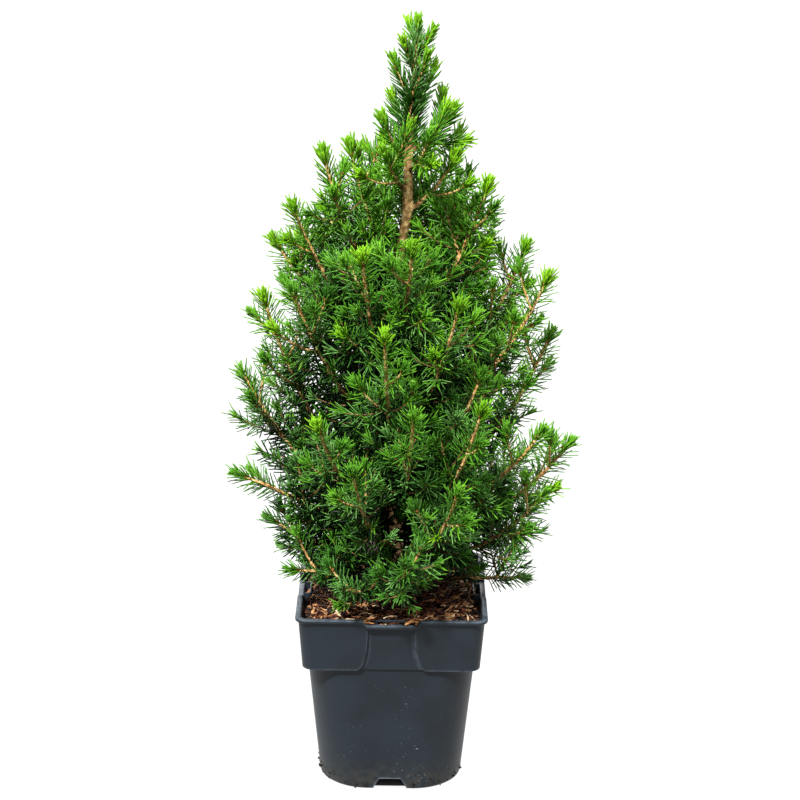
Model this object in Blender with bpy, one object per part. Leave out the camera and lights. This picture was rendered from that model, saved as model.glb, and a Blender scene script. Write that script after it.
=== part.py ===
"""Potted dwarf spruce: a young cone-shaped spruce standing in a square 13 cm nursery pot.

Metres, +Z up. The origin is the middle of the pot's flat underside, and -Y is the front.
The pot is a moulded shell, the bark mulch fills it, and the trunk runs up from the mulch
to the foot of the leader. Each bough and each mass of foliage is a solid of its own: a mass
is one stem with side twigs on it, all of them slim cores that broad needles stand out of.
"""

import math
from typing import NamedTuple

import bpy
import numpy as np

SEED = 41
CLEAR = 0.0003  # gap between solids that touch on the real plant
SHARP_ANGLE = math.radians(35)

# --- Pot ---------------------------------------------------------------------------------
POT_HEIGHT = 0.1325
LIP_HALF = 0.0650  # half the width across the lip
LIP_CORNER = 0.0080
LIP_DEPTH = 0.0026
LIP_INNER_HALF = 0.0613
COLLAR_FOOT = 0.0943  # height of the collar's lower edge
COLLAR_TOP_HALF = 0.0631
COLLAR_FOOT_HALF = 0.0604
COLLAR_CORNER = 0.0085
COLLAR_WALL = 0.0030
BODY_TOP_HALF = 0.0575
BODY_TOP_CORNER = 0.0250
BODY_FOOT_HALF = 0.0492
BODY_FOOT_CORNER = 0.0335
FOOT_ROUND = 0.0025
FOOT_CHAMFER = 0.0008
BODY_WALL = 0.0016
FLOOR = 0.0030
PANEL_HALF = 0.0152  # the flat panel let into the middle of each side of the collar
PANEL_FLARE = 0.0050  # its edges swing out this far, all in their lowest part
PANEL_FLARE_POWER = 4
PANEL_STEP = 0.0008
PANEL_RECESS = 0.0018
PANEL_LIFT = 0.0012
NOTCH_HALF = 0.0160  # the dip in the lip above each panel
NOTCH_SLOPE = 0.0043
NOTCH_DEPTH = 0.0036
CORNER_STEPS = 3
DRAIN_HALF = 0.0121  # the notch at the foot of each side
DRAIN_TOP_HALF = 0.0075
DRAIN_HEIGHT = 0.0087
DRAIN_INNER = 0.0370
DRAIN_OUTER = 0.0520

# --- Mulch -------------------------------------------------------------------------------
MULCH_EDGE = 0.1245  # height at the pot's wall
MULCH_TOP = 0.1268  # height of the flat round the trunk
MULCH_RELIEF = 0.0014
MULCH_RINGS = (0.75, 0.45)  # shares of the half-width
MULCH_FLAT = 0.18

# --- Trunk -------------------------------------------------------------------------------
TRUNK_FOOT = MULCH_TOP + CLEAR
TRUNK_TIP = 0.4520
TRUNK_X = 0.0030  # the trunk stands a little to the right of the pot's middle
LOW_LEAN = -0.0135  # sideways run for each metre of height above the foot
KINK = 0.0087  # sideways step in the upper trunk
KINK_FOOT = 0.3450
KINK_TOP = 0.4100
TOP_LEAN_FOOT = 0.4400
TOP_LEAN = 0.0794  # the same again for each metre above TOP_LEAN_FOOT
TRUNK_RADII = ((TRUNK_FOOT, 0.0048), (0.400, 0.0034), (0.455, 0.0027), (0.474, 0.0017), (0.530, 0.0008))
FLARE = 0.0032
FLARE_FADE = 0.0080
FLARE_RIBS = 5
FLARE_RIB_DEPTH = 0.5  # share of the flare
TRUNK_SIDES = 10
TRUNK_RINGS = 20
TRUNK_RING_CROWD = 1.4  # above 1, the rings crowd towards the foot

# --- Boughs and shoots -------------------------------------------------------------------
BOUGH_BEND = 0.62  # where a bough's middle control point stands, as a share of its reach
PATH_POINTS = 60
LIMB_SIDES = 6
LIMB_RINGS = 6
LIMB_FOOT_RADIUS = 0.0021
SEAT_RISE = 0.0038  # how far a stem's flat end reaches up and down the trunk
STEM_RADIUS = 0.0019
TWIG_RADIUS = 0.0015
TIP_RADIUS = 0.0012
SHOOT_SIDES = 3
SHOOT_TWIST = math.radians(40)  # turn of each ring of needles from the one before
NEEDLE_STEP = 0.0140  # length of stem that carries one ring of needles
LEAST_RINGS = 3
NEEDLE = 0.0165
NEEDLE_LEAN = math.radians(54)  # from the stem, at the foot of a shoot
NEEDLE_LEAN_TIP = math.radians(30)
BUD = 0.0080
BARE_FOOT = 0.012  # stretch of each main stem next to the trunk with no needles
TWIG_LEAN = math.radians(50)
TWIG_TURN = math.radians(137.5)
TWIG_RISE = 0.35  # how far a twig bends up, as a share of its length
TWIG_LONGEST = 0.040
TWIG_SHORTEST = 0.016
TWIG_FIRST = 0.12  # where the first and the last twig stand, as shares of the main stem
TWIG_LAST = 0.84
TWIG_TRIES = 6
TWIG_SPREAD = (0.85, 1.15)  # chance factor on each twig's length

# Clearances that keep each mass to its own space
SAMPLE = 0.002
STEM_APART = 0.0080
TWIG_APART = 0.0070
LIMB_APART = 0.0032
BUD_APART = 0.0045
ROOT_FREE = 0.0100  # length at a twig's root that may lie close to its own stem
NEEDLE_MARGIN = 0.0014
NEEDLE_OFF_TWIG = 0.0020
NEEDLE_OFF_LIMB = 0.0009
NEEDLE_CUTS = (1.0, 0.8, 0.6, 0.42)
NEEDLE_PROBES = (0.45, 0.75, 1.0)  # where along a needle its room is tested
POT_TOP_CLEAR = 0.0016
POT_SIDE_CLEAR = 0.0670

# Height, and how far the shoots may stand out from the trunk there
CROWN = (
    (0.132, 0.060),
    (0.142, 0.090),
    (0.175, 0.100),
    (0.210, 0.110),
    (0.240, 0.113),
    (0.280, 0.108),
    (0.320, 0.098),
    (0.360, 0.088),
    (0.400, 0.070),
    (0.430, 0.050),
    (0.450, 0.034),
    (0.480, 0.022),
    (0.510, 0.012),
    (0.530, 0.006),
)


class Bough(NamedTuple):
    """A bough's place: it leaves the trunk at `foot` and its tip is `reach` out, `tip` high."""

    name: str
    azimuth: float  # degrees from +X towards +Y, so -90 is the front
    foot: float
    reach: float
    tip: float
    rise: float  # share of the climb made by the middle control point: small bends up late
    twigs: int
    limb: float  # share of its length that is a bare limb of its own


BOUGHS = (
    Bough("top_right", 0, 0.440, 0.028, 0.464, 0.35, 2, 0),
    Bough("top_left", -160, 0.436, 0.017, 0.459, 0.35, 0, 0),
    Bough("top_front_right", -62, 0.427, 0.029, 0.454, 0.35, 2, 0),
    Bough("top_front_left", -128, 0.414, 0.025, 0.441, 0.35, 2, 0),
    Bough("top_back", 80, 0.424, 0.024, 0.455, 0.35, 1, 0),
    Bough("neck_right", -17, 0.402, 0.031, 0.436, 0.35, 2, 0),
    Bough("neck_back", 105, 0.396, 0.034, 0.430, 0.35, 2, 0),
    Bough("high_left_1", -176, 0.338, 0.048, 0.436, 0.30, 4, 0),
    Bough("high_left_2", 158, 0.366, 0.035, 0.438, 0.30, 2, 0),
    Bough("high_right_1", -10, 0.316, 0.060, 0.418, 0.30, 4, 0),
    Bough("high_right_2", 30, 0.352, 0.040, 0.397, 0.30, 3, 0),
    Bough("high_right_3", 14, 0.306, 0.063, 0.374, 0.30, 4, 0),
    Bough("high_front_1", -112, 0.270, 0.060, 0.380, 0.30, 4, 0),
    Bough("high_front_2", -82, 0.304, 0.070, 0.389, 0.30, 4, 0),
    Bough("middle_left_1", -170, 0.296, 0.069, 0.402, 0.40, 4, 0),
    Bough("middle_left_2", 168, 0.306, 0.083, 0.372, 0.35, 4, 0),
    Bough("middle_left_3", -156, 0.238, 0.075, 0.351, 0.35, 4, 0.45),
    Bough("middle_left_4", -177, 0.186, 0.090, 0.339, 0.30, 4, 0.45),
    Bough("middle_right_1", 8, 0.250, 0.086, 0.371, 0.30, 4, 0.40),
    Bough("middle_right_2", -8, 0.236, 0.100, 0.357, 0.30, 4, 0.42),
    Bough("middle_front_1", -56, 0.244, 0.071, 0.349, 0.30, 4, 0),
    Bough("middle_front_2", -95, 0.216, 0.092, 0.337, 0.30, 4, 0),
    Bough("middle_front_3", -38, 0.206, 0.070, 0.298, 0.30, 4, 0),
    Bough("low_left_1", 171, 0.180, 0.107, 0.280, 0.25, 4, 0.42),
    Bough("low_left_2", -170, 0.162, 0.108, 0.219, 0.70, 4, 0),
    Bough("low_front_1", -124, 0.180, 0.092, 0.272, 0.30, 4, 0),
    Bough("low_front_2", -106, 0.160, 0.104, 0.250, 0.25, 4, 0),
    Bough("low_front_3", -84, 0.188, 0.102, 0.288, 0.28, 4, 0),
    Bough("low_right_1", -54, 0.170, 0.093, 0.284, 0.25, 4, 0),
    Bough("low_right_2", 4, 0.190, 0.103, 0.312, 0.25, 4, 0.42),
    Bough("low_right_3", -24, 0.176, 0.104, 0.259, 0.30, 4, 0),
    Bough("low_right_4", -3, 0.158, 0.116, 0.239, 0.25, 4, 0.42),
    Bough("low_right_5", -68, 0.150, 0.105, 0.236, 0.25, 4, 0),
    Bough("skirt_right_1", -15, 0.150, 0.102, 0.209, 0.15, 4, 0.42),
    Bough("skirt_right_2", 4, 0.138, 0.089, 0.137, 1.5, 4, 0),
    Bough("skirt_left_1", -173, 0.154, 0.086, 0.184, 0.20, 4, 0),
    Bough("skirt_left_2", -152, 0.145, 0.080, 0.158, 0.40, 4, 0),
    Bough("skirt_front_1", -86, 0.142, 0.098, 0.186, 0.30, 4, 0),
    Bough("skirt_front_2", -114, 0.136, 0.088, 0.163, 0.30, 4, 0),
)

# The far side's boughs climb the trunk in a spiral
BACK_COUNT = 8
BACK_FOOT = (0.146, 0.317)
BACK_CLIMB = (0.040, 0.082)
BACK_SECTOR = (32, 148)
BACK_TURN = 0.382  # share of the sector between one bough and the next
BACK_REACH = 0.96  # share of the crown's width
BACK_TWIGS = 5

LEADER_TIP = 0.5305
LEADER_STEP = 0.0100
LEADER_TWIGS = 7
LEADER_TWIG_LONGEST = 0.026
LEADER_TWIG_SHORTEST = 0.013
LEADER_TWIG_LEAN = math.radians(38)


# --- Sizes that follow from the named ones -----------------------------------------------


def smooth_step(value):
    value = min(max(value, 0.0), 1.0)
    return value * value * (3 - 2 * value)


def trunk_axis(height):
    """The middle of the trunk at a height: near upright, then a kink, then a lean to +X."""
    kink = KINK * smooth_step((height - KINK_FOOT) / (KINK_TOP - KINK_FOOT))
    lean = LOW_LEAN * (height - TRUNK_FOOT) + TOP_LEAN * max(0.0, height - TOP_LEAN_FOOT)
    return np.array([TRUNK_X + kink + lean, 0.0, height])


def trunk_radius(height):
    heights, radii = zip(*TRUNK_RADII)
    flare = FLARE * math.exp((TRUNK_FOOT - height) / FLARE_FADE)
    return float(np.interp(height, heights, radii)) + flare


def crown_reach(height):
    heights, reaches = zip(*CROWN)
    return float(np.interp(height, heights, reaches))


def unit(vector):
    return vector / np.linalg.norm(vector)


def outward(azimuth):
    angle = math.radians(azimuth)
    return np.array([math.cos(angle), math.sin(angle), 0.0])


# --- Meshes and finishes -----------------------------------------------------------------


def finish(name, colour, roughness):
    material = bpy.data.materials.new(name)
    material.use_nodes = True
    shader = material.node_tree.nodes["Principled BSDF"]
    shader.inputs["Base Color"].default_value = (*colour, 1)
    shader.inputs["Roughness"].default_value = roughness
    return material


def add_object(name, points, faces, material, smooth=False):
    mesh = bpy.data.meshes.new(name)
    mesh.from_pydata([tuple(point) for point in points], [], faces)
    mesh.materials.append(material)
    if smooth:
        mesh.shade_smooth()
        mesh.set_sharp_from_angle(angle=SHARP_ANGLE)
    obj = bpy.data.objects.new(name, mesh)
    bpy.context.scene.collection.objects.link(obj)
    return obj


def stack_faces(rings, sides):
    """Quads between rings of points, with the first and the last ring closed by one face."""
    faces = [tuple(range(sides - 1, -1, -1))]
    for ring in range(rings - 1):
        for side in range(sides):
            low, high = ring * sides, (ring + 1) * sides
            turn = (side + 1) % sides
            faces.append((low + side, low + turn, high + turn, high + side))
    faces.append(tuple(range((rings - 1) * sides, rings * sides)))
    return faces


# --- Pot and mulch -----------------------------------------------------------------------


class Row(NamedTuple):
    """One level of the pot: a rounded square with a panel in the middle of each side."""

    height: float
    half: float
    corner: float
    panel: float = PANEL_HALF
    step: float = PANEL_STEP
    recess: float = 0.0
    lift: float = 0.0


def along_side(row, along):
    """(across, out) of the point `along` metres round the outline from the side's middle."""
    straight = row.half - row.corner
    if along <= straight:
        return along, row.half
    angle = (along - straight) / row.corner
    return straight + row.corner * math.sin(angle), straight + row.corner * math.cos(angle)


def row_points(row):
    """A level's points, anticlockwise from the front's middle, equally many on every level."""
    edge = row.panel + row.step
    corner_start = max(row.half - row.corner, edge + 2 * PANEL_STEP)
    corner_middle = row.half - row.corner + row.corner * math.pi / 4
    corner_run = [
        corner_start + (corner_middle - corner_start) * step / CORNER_STEPS
        for step in range(CORNER_STEPS + 1)
    ]
    half_side = []
    for along in (0.0, row.panel, edge, *corner_run):
        across, out = along_side(row, along)
        in_panel = along <= row.panel
        half_side.append(
            (
                across,
                out - (row.recess if in_panel else 0),
                row.height + (row.lift if in_panel else 0),
            )
        )
    points = []
    for side in range(4):
        turn = math.radians(90 * side)
        out_way = np.array([math.sin(turn), -math.cos(turn)])
        across_way = np.array([math.cos(turn), math.sin(turn)])
        left = [(-across, out, height) for across, out, height in half_side[-2:0:-1]]
        for across, out, height in left + half_side:
            x, y = out_way * out + across_way * across
            points.append((x, y, height))
    return points


def collar_half(height):
    """Half the collar's width at a height."""
    share = (height - COLLAR_FOOT) / (POT_HEIGHT - LIP_DEPTH - COLLAR_FOOT)
    return COLLAR_FOOT_HALF + (COLLAR_TOP_HALF - COLLAR_FOOT_HALF) * share


def panel_row(height):
    """A level of the collar, where the panel's edges flare out towards the foot."""
    drop = 1 - (height - COLLAR_FOOT) / (POT_HEIGHT - COLLAR_FOOT)
    return Row(
        height,
        collar_half(height),
        COLLAR_CORNER,
        PANEL_HALF + PANEL_FLARE * drop**PANEL_FLARE_POWER,
        PANEL_STEP,
        PANEL_RECESS,
        PANEL_LIFT if height == COLLAR_FOOT else 0.0,
    )


def inner_rows(gap):
    """The levels inside the pot from the mulch's edge down, `gap` in from its wall."""
    ledge = COLLAR_FOOT + BODY_WALL + gap
    return [
        Row(MULCH_EDGE, collar_half(MULCH_EDGE) - COLLAR_WALL - gap, COLLAR_CORNER - gap),
        Row(ledge, COLLAR_FOOT_HALF - COLLAR_WALL - gap, COLLAR_CORNER - gap),
        Row(ledge, BODY_TOP_HALF - BODY_WALL - gap, BODY_TOP_CORNER - BODY_WALL - gap),
        Row(FLOOR + gap, BODY_FOOT_HALF - BODY_WALL - gap, BODY_FOOT_CORNER - BODY_WALL - gap),
    ]


def make_pot(material):
    """The shell: up the outside from the foot, over the lip, and down the inside to the floor."""
    lip_foot = POT_HEIGHT - LIP_DEPTH
    notch = {"panel": NOTCH_HALF, "step": NOTCH_SLOPE, "lift": -NOTCH_DEPTH}
    rows = [
        Row(0.0, BODY_FOOT_HALF - FOOT_ROUND, BODY_FOOT_CORNER - FOOT_ROUND),
        Row(FOOT_CHAMFER, BODY_FOOT_HALF - FOOT_CHAMFER, BODY_FOOT_CORNER - FOOT_CHAMFER),
        Row(FOOT_ROUND, BODY_FOOT_HALF, BODY_FOOT_CORNER),
        Row(COLLAR_FOOT, BODY_TOP_HALF, BODY_TOP_CORNER, PANEL_HALF + PANEL_FLARE, lift=PANEL_LIFT),
        panel_row(COLLAR_FOOT),
        panel_row(COLLAR_FOOT + 0.3 * (lip_foot - COLLAR_FOOT)),
        panel_row(lip_foot - NOTCH_DEPTH),
        Row(lip_foot, COLLAR_TOP_HALF, COLLAR_CORNER, **notch),
        Row(lip_foot, LIP_HALF, LIP_CORNER, **notch),
        Row(POT_HEIGHT, LIP_HALF, LIP_CORNER, **notch),
        Row(POT_HEIGHT, LIP_INNER_HALF, COLLAR_CORNER - BODY_WALL, **notch),
        *inner_rows(0.0),
    ]
    points = [point for row in rows for point in row_points(row)]
    sides = len(points) // len(rows)
    pot = add_object("pot", points, stack_faces(len(rows), sides), material, smooth=True)
    cut_drains(pot, material)


def cut_drains(pot, material):
    """A notch through the foot of each wall, wider at the ground than at its top."""
    profile = (
        (-DRAIN_HALF, -DRAIN_HEIGHT),
        (DRAIN_HALF, -DRAIN_HEIGHT),
        (DRAIN_HALF, 0.0),
        (DRAIN_TOP_HALF, DRAIN_HEIGHT),
        (-DRAIN_TOP_HALF, DRAIN_HEIGHT),
        (-DRAIN_HALF, 0.0),
    )
    sides = len(profile)
    points = []
    faces = []
    for side in range(4):
        turn = math.radians(90 * side)
        for out in (DRAIN_INNER, DRAIN_OUTER):
            for across, height in profile:
                x = math.sin(turn) * out + math.cos(turn) * across
                y = -math.cos(turn) * out + math.sin(turn) * across
                points.append((x, y, height))
        first = 2 * sides * side
        faces += [tuple(first + corner for corner in face) for face in stack_faces(2, sides)]
    cutter = add_object("drain_cutter", points, faces, material)
    cutter.hide_render = True
    cutter.display_type = "WIRE"
    cut = pot.modifiers.new("drains", "BOOLEAN")
    cut.operation = "DIFFERENCE"
    cut.object = cutter


def make_mulch(material, rng):
    """The fill: it follows the pot's inside, 0.3 mm clear, with an uneven top that is flat at
    the trunk."""
    rows = [row_points(row) for row in reversed(inner_rows(CLEAR))]
    edge = np.array(rows[-1])
    for share in MULCH_RINGS:
        ring = edge * (share, share, 1)
        ring[:, 2] = MULCH_EDGE + (MULCH_TOP - MULCH_EDGE) * (1 - share)
        ring[:, 2] += rng.uniform(-MULCH_RELIEF, MULCH_RELIEF, len(ring))
        rows.append(ring)
    flat = edge * (MULCH_FLAT, MULCH_FLAT, 0) + (TRUNK_X, 0, MULCH_TOP)
    rows.append(flat)
    points = [point for row in rows for point in row]
    add_object("mulch", points, stack_faces(len(rows), len(edge)), material)


# --- Limbs -------------------------------------------------------------------------------


def side_ways(path):
    """For each point of a path: its direction, and two directions square to it that turn with
    the path."""
    path = np.asarray(path)
    ways = np.gradient(path, axis=0)
    ways /= np.linalg.norm(ways, axis=1)[:, None]
    start = np.array([0.0, 0.0, 1.0]) if abs(ways[0][2]) < 0.9 else np.array([1.0, 0.0, 0.0])
    first = unit(np.cross(start, ways[0]))
    firsts = []
    seconds = []
    for way in ways:
        first = unit(first - way * first.dot(way))
        firsts.append(first)
        seconds.append(np.cross(way, first))
    return ways, np.array(firsts), np.array(seconds)


def tube_points(path, radii, sides, twist=0.0):
    """A ring of `sides` points round each point of the path, each turned by `twist` more."""
    ways, firsts, seconds = side_ways(path)
    rings = []
    for index, centre in enumerate(path):
        angles = 2 * math.pi * np.arange(sides) / sides + twist * index
        ring = np.outer(np.cos(angles), firsts[index]) + np.outer(np.sin(angles), seconds[index])
        rings.append(centre + radii[index] * ring)
    return np.array(rings), ways


def seat_on_trunk(ring, centre, way, azimuth):
    """Slides a stem's first ring along the stem, so that its end is flat against the trunk."""
    out = outward(azimuth)
    slide = (ring - centre) @ out / way.dot(out)
    return ring - np.outer(slide, way)


def make_trunk(material):
    """A tapering tube on the trunk's line, with ribs in the flare at its flat-cut foot."""
    rise = TRUNK_TIP - TRUNK_FOOT
    points = []
    for ring in range(TRUNK_RINGS):
        height = TRUNK_FOOT + rise * (ring / (TRUNK_RINGS - 1)) ** TRUNK_RING_CROWD
        axis = trunk_axis(height)
        flare = FLARE * math.exp((TRUNK_FOOT - height) / FLARE_FADE)
        for side in range(TRUNK_SIDES):
            angle = 2 * math.pi * side / TRUNK_SIDES
            groove = FLARE_RIB_DEPTH * flare * (side % (TRUNK_SIDES // FLARE_RIBS))
            radius = trunk_radius(height) - groove
            points.append(axis + radius * np.array([math.cos(angle), math.sin(angle), 0]))
    add_object("trunk", points, stack_faces(TRUNK_RINGS, TRUNK_SIDES), material, smooth=True)


def bough_path(bough):
    """A curve from the trunk's face to the tip: out at first, and steeper towards the end."""
    axis = trunk_axis(bough.foot)
    out = outward(bough.azimuth)
    lean = max(
        abs((trunk_axis(bough.foot + rise) - axis).dot(out)) for rise in (-SEAT_RISE, SEAT_RISE)
    )
    start = axis + out * (trunk_radius(bough.foot) + CLEAR + lean)
    tip = axis + out * bough.reach
    tip[2] = bough.tip
    bend = start + (tip - start) * (BOUGH_BEND, BOUGH_BEND, bough.rise)
    share = np.linspace(0, 1, PATH_POINTS)[:, None]
    return (1 - share) ** 2 * start + 2 * share * (1 - share) * bend + share**2 * tip


def path_length(path):
    return float(np.linalg.norm(np.diff(path, axis=0), axis=1).sum())


def resample(path, spacing, least=2):
    """Points at equal distances along a path, its two ends among them."""
    steps = np.linalg.norm(np.diff(path, axis=0), axis=1)
    run = np.concatenate([[0.0], np.cumsum(steps)])
    count = max(least, round(run[-1] / spacing) + 1)
    places = np.linspace(0, run[-1], count)
    return np.stack([np.interp(places, run, path[:, axis]) for axis in range(3)], axis=1)


def make_limb(bough, path, material):
    radii = np.linspace(LIMB_FOOT_RADIUS, STEM_RADIUS, LIMB_RINGS)
    path = resample(path, path_length(path) / (LIMB_RINGS - 1))
    rings, ways = tube_points(path, radii, LIMB_SIDES)
    rings[0] = seat_on_trunk(rings[0], path[0], ways[0], bough.azimuth)
    faces = stack_faces(LIMB_RINGS, LIMB_SIDES)
    add_object("bough_" + bough.name, rings.reshape(-1, 3), faces, material, smooth=True)


# --- Foliage -----------------------------------------------------------------------------


class Shoot:
    """One stem with needles: its path, its radii, and the mass that it belongs to."""

    def __init__(self, mass, path, foot_radius, bare=0.0, azimuth=None, step=NEEDLE_STEP):
        self.mass = mass
        self.path = resample(path, step, LEAST_RINGS)
        self.radii = np.linspace(foot_radius, TIP_RADIUS, len(self.path))
        self.bare = bare
        self.azimuth = azimuth
        self.samples = resample(path, SAMPLE)


class Space:
    """What stands where: samples of every shoot, and of the trunk and limbs with their radii."""

    def __init__(self):
        self.shoots = []
        self.limb_points = []
        self.limb_radii = []

    def add_limb(self, points, radii):
        self.limb_points.extend(points)
        self.limb_radii.extend(radii)

    def limb_gap(self, points):
        """Each point's distance from the nearest limb's surface."""
        away = np.linalg.norm(points[:, None] - np.array(self.limb_points)[None], axis=2)
        return (away - np.array(self.limb_radii)).min(axis=1)

    def shoot_gap(self, points, chosen):
        """Each point's distance from the nearest of the chosen shoots' middles."""
        samples = [shoot.samples for shoot in chosen]
        if not samples:
            return np.full(len(points), 1.0)
        away = np.linalg.norm(points[:, None] - np.concatenate(samples)[None], axis=2)
        return away.min(axis=1)

    def clear_of_pot(self, points):
        """True where a point is above the pot's lip, or outside the pot seen from above."""
        outside = np.abs(points[:, :2]).max(axis=1) > POT_SIDE_CLEAR
        return outside | (points[:, 2] > POT_HEIGHT + POT_TOP_CLEAR)

    def inside_crown(self, points):
        """True where a point lies within the crown's reach at its height."""
        away = [math.hypot(*(point - trunk_axis(point[2]))[:2]) for point in points]
        return np.array(away) <= [crown_reach(point[2]) for point in points]

    def room_for_twig(self, path, stem):
        """How many of a twig's points, counted from its root on the stem, may stay."""
        others = [shoot for shoot in self.shoots if shoot.mass != stem.mass]
        own = [shoot for shoot in self.shoots if shoot.mass == stem.mass and shoot is not stem]
        free = round(ROOT_FREE / SAMPLE)
        fits = self.shoot_gap(path, others) > STEM_APART
        fits &= self.limb_gap(path) > LIMB_APART
        fits &= self.clear_of_pot(path - (0, 0, 2 * TWIG_RADIUS))
        fits &= self.inside_crown(path)
        near_own = self.shoot_gap(path, own) < TWIG_APART
        near_own[:free] = False
        fits &= ~near_own
        count = len(path) if fits.all() else int(np.argmin(fits))
        buds = path + BUD * side_ways(path)[0]
        bud_fits = self.shoot_gap(buds, others) > BUD_APART
        bud_fits &= self.limb_gap(buds) > BUD_APART
        while count and not bud_fits[count - 1]:
            count -= 1
        return count

    def needle_length(self, shoot, root, way):
        """The longest allowed cut of a needle: it stays nearer its own shoot than any other,
        and clear of limbs and pot. 0 where there is no room."""
        others = [other for other in self.shoots if other is not shoot]
        foreign = [other for other in others if other.mass != shoot.mass]
        for cut in NEEDLE_CUTS:
            points = root + np.outer(NEEDLE_PROBES, way * NEEDLE * cut)
            own_gap = self.shoot_gap(points, [shoot])
            gap = self.shoot_gap(points, others)
            fits = (gap >= own_gap) & (gap >= NEEDLE_OFF_TWIG)
            fits &= self.shoot_gap(points, foreign) >= own_gap + NEEDLE_MARGIN
            fits &= self.limb_gap(points) >= NEEDLE_OFF_LIMB
            fits &= self.clear_of_pot(points)
            if fits.all():
                return NEEDLE * cut
        return 0.0


def twig_path(stem, share, turn, length, lean):
    """A side twig: it leaves the stem at an angle, turned round it, and bends upwards."""
    ways, firsts, seconds = side_ways(stem)
    index = round(share * (len(stem) - 1))
    aside = math.cos(turn) * firsts[index] + math.sin(turn) * seconds[index]
    way = math.cos(lean) * ways[index] + math.sin(lean) * aside
    run = np.linspace(0, 1, round(length / SAMPLE) + 1)[:, None]
    return stem[index] + length * (run * way + run**2 * np.array([0, 0, TWIG_RISE]))


def grow_twigs(space, stem, count, longest, shortest, lean, rng):
    """Side twigs up one stem, shorter towards its tip. One that has no room is cut back, and
    left out below the shortest length."""
    turn = rng.uniform(0, 2 * math.pi)
    for number in range(count):
        share = TWIG_FIRST + (TWIG_LAST - TWIG_FIRST) * (number + 0.5) / count
        length = shortest + (longest - shortest) * (1 - share) * rng.uniform(*TWIG_SPREAD)
        for _ in range(TWIG_TRIES):
            turn += TWIG_TURN
            path = twig_path(stem.samples, share, turn, length, lean)
            path = path[: space.room_for_twig(path, stem)]
            if len(path) * SAMPLE >= shortest:
                space.shoots.append(Shoot(stem.mass, path, TWIG_RADIUS))
                break


def shoot_mesh(space, shoot):
    """A three-sided core, each side of each ring of which is drawn out to a needle."""
    rings, ways = tube_points(shoot.path, shoot.radii, SHOOT_SIDES, SHOOT_TWIST)
    if shoot.azimuth is not None:
        rings[0] = seat_on_trunk(rings[0], shoot.path[0], ways[0], shoot.azimuth)
    points = list(rings.reshape(-1, 3))
    faces = stack_faces(len(rings), SHOOT_SIDES)[:-1]
    bodies = [faces[0]]
    length = path_length(shoot.path)
    for number, face in enumerate(faces[1:]):
        ring = number // SHOOT_SIDES
        share = (ring + 0.5) / (len(rings) - 1)
        corners = np.array([points[corner] for corner in face])
        root = corners.mean(axis=0)
        way = unit(ways[ring] + ways[ring + 1])
        out = unit(root - (shoot.path[ring] + shoot.path[ring + 1]) / 2)
        lean = NEEDLE_LEAN + (NEEDLE_LEAN_TIP - NEEDLE_LEAN) * share**2
        needle_way = math.cos(lean) * way + math.sin(lean) * out
        bare = share * length < shoot.bare
        needle = 0.0 if bare else space.needle_length(shoot, root, needle_way)
        if needle == 0:
            bodies += [(face[0], face[1], face[2]), (face[0], face[2], face[3])]
            continue
        apex = len(points)
        points.append(root + needle_way * needle)
        bodies += [(face[side], face[(side + 1) % 4], apex) for side in range(4)]
    apex = len(points)
    points.append(shoot.path[-1] + ways[-1] * BUD)
    last = (len(rings) - 1) * SHOOT_SIDES
    for side in range(SHOOT_SIDES):
        bodies.append((last + side, last + (side + 1) % SHOOT_SIDES, apex))
    return points, bodies


def join_mass(name, meshes, material):
    """One solid from a main stem and its twigs, by one Boolean union on their collection."""
    stem, *twigs = [
        add_object(f"{name}_{number}" if number else name, points, faces, material)
        for number, (points, faces) in enumerate(meshes)
    ]
    if not twigs:
        return stem
    group = bpy.data.collections.new(name)
    bpy.context.scene.collection.children.link(group)
    for twig in twigs:
        bpy.context.scene.collection.objects.unlink(twig)
        group.objects.link(twig)
    union = stem.modifiers.new("union", "BOOLEAN")
    union.operation = "UNION"
    union.operand_type = "COLLECTION"
    union.collection = group
    union.solver = "EXACT"
    graph = bpy.context.evaluated_depsgraph_get()
    stem.data = bpy.data.meshes.new_from_object(stem.evaluated_get(graph))
    stem.modifiers.clear()
    for twig in twigs:
        bpy.data.objects.remove(twig)
    bpy.data.collections.remove(group)
    return stem


# --- The plant ---------------------------------------------------------------------------


def back_boughs():
    """The far side's boughs, spaced by a fixed turn as they climb."""
    boughs = []
    for number in range(BACK_COUNT):
        share = number / (BACK_COUNT - 1)
        sector = BACK_SECTOR[1] - BACK_SECTOR[0]
        azimuth = BACK_SECTOR[0] + sector * ((0.5 + number * BACK_TURN) % 1)
        foot = BACK_FOOT[0] + (BACK_FOOT[1] - BACK_FOOT[0]) * share
        tip = foot + BACK_CLIMB[0] + (BACK_CLIMB[1] - BACK_CLIMB[0]) * share**0.5
        reach = BACK_REACH * crown_reach(tip)
        boughs.append(Bough(f"back_{number + 1}", azimuth, foot, reach, tip, 0.28, BACK_TWIGS, 0))
    return boughs


def trunk_samples():
    heights = np.arange(TRUNK_FOOT, TRUNK_TIP, SAMPLE)
    return [trunk_axis(height) for height in heights], [trunk_radius(height) for height in heights]


def leader_shoot():
    """The stem that goes on from the trunk's tip to the top of the plant."""
    heights = np.linspace(TRUNK_TIP + CLEAR, LEADER_TIP - BUD, PATH_POINTS)
    path = np.array([trunk_axis(height) for height in heights])
    return Shoot("leader", path, trunk_radius(TRUNK_TIP), step=LEADER_STEP)


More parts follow.
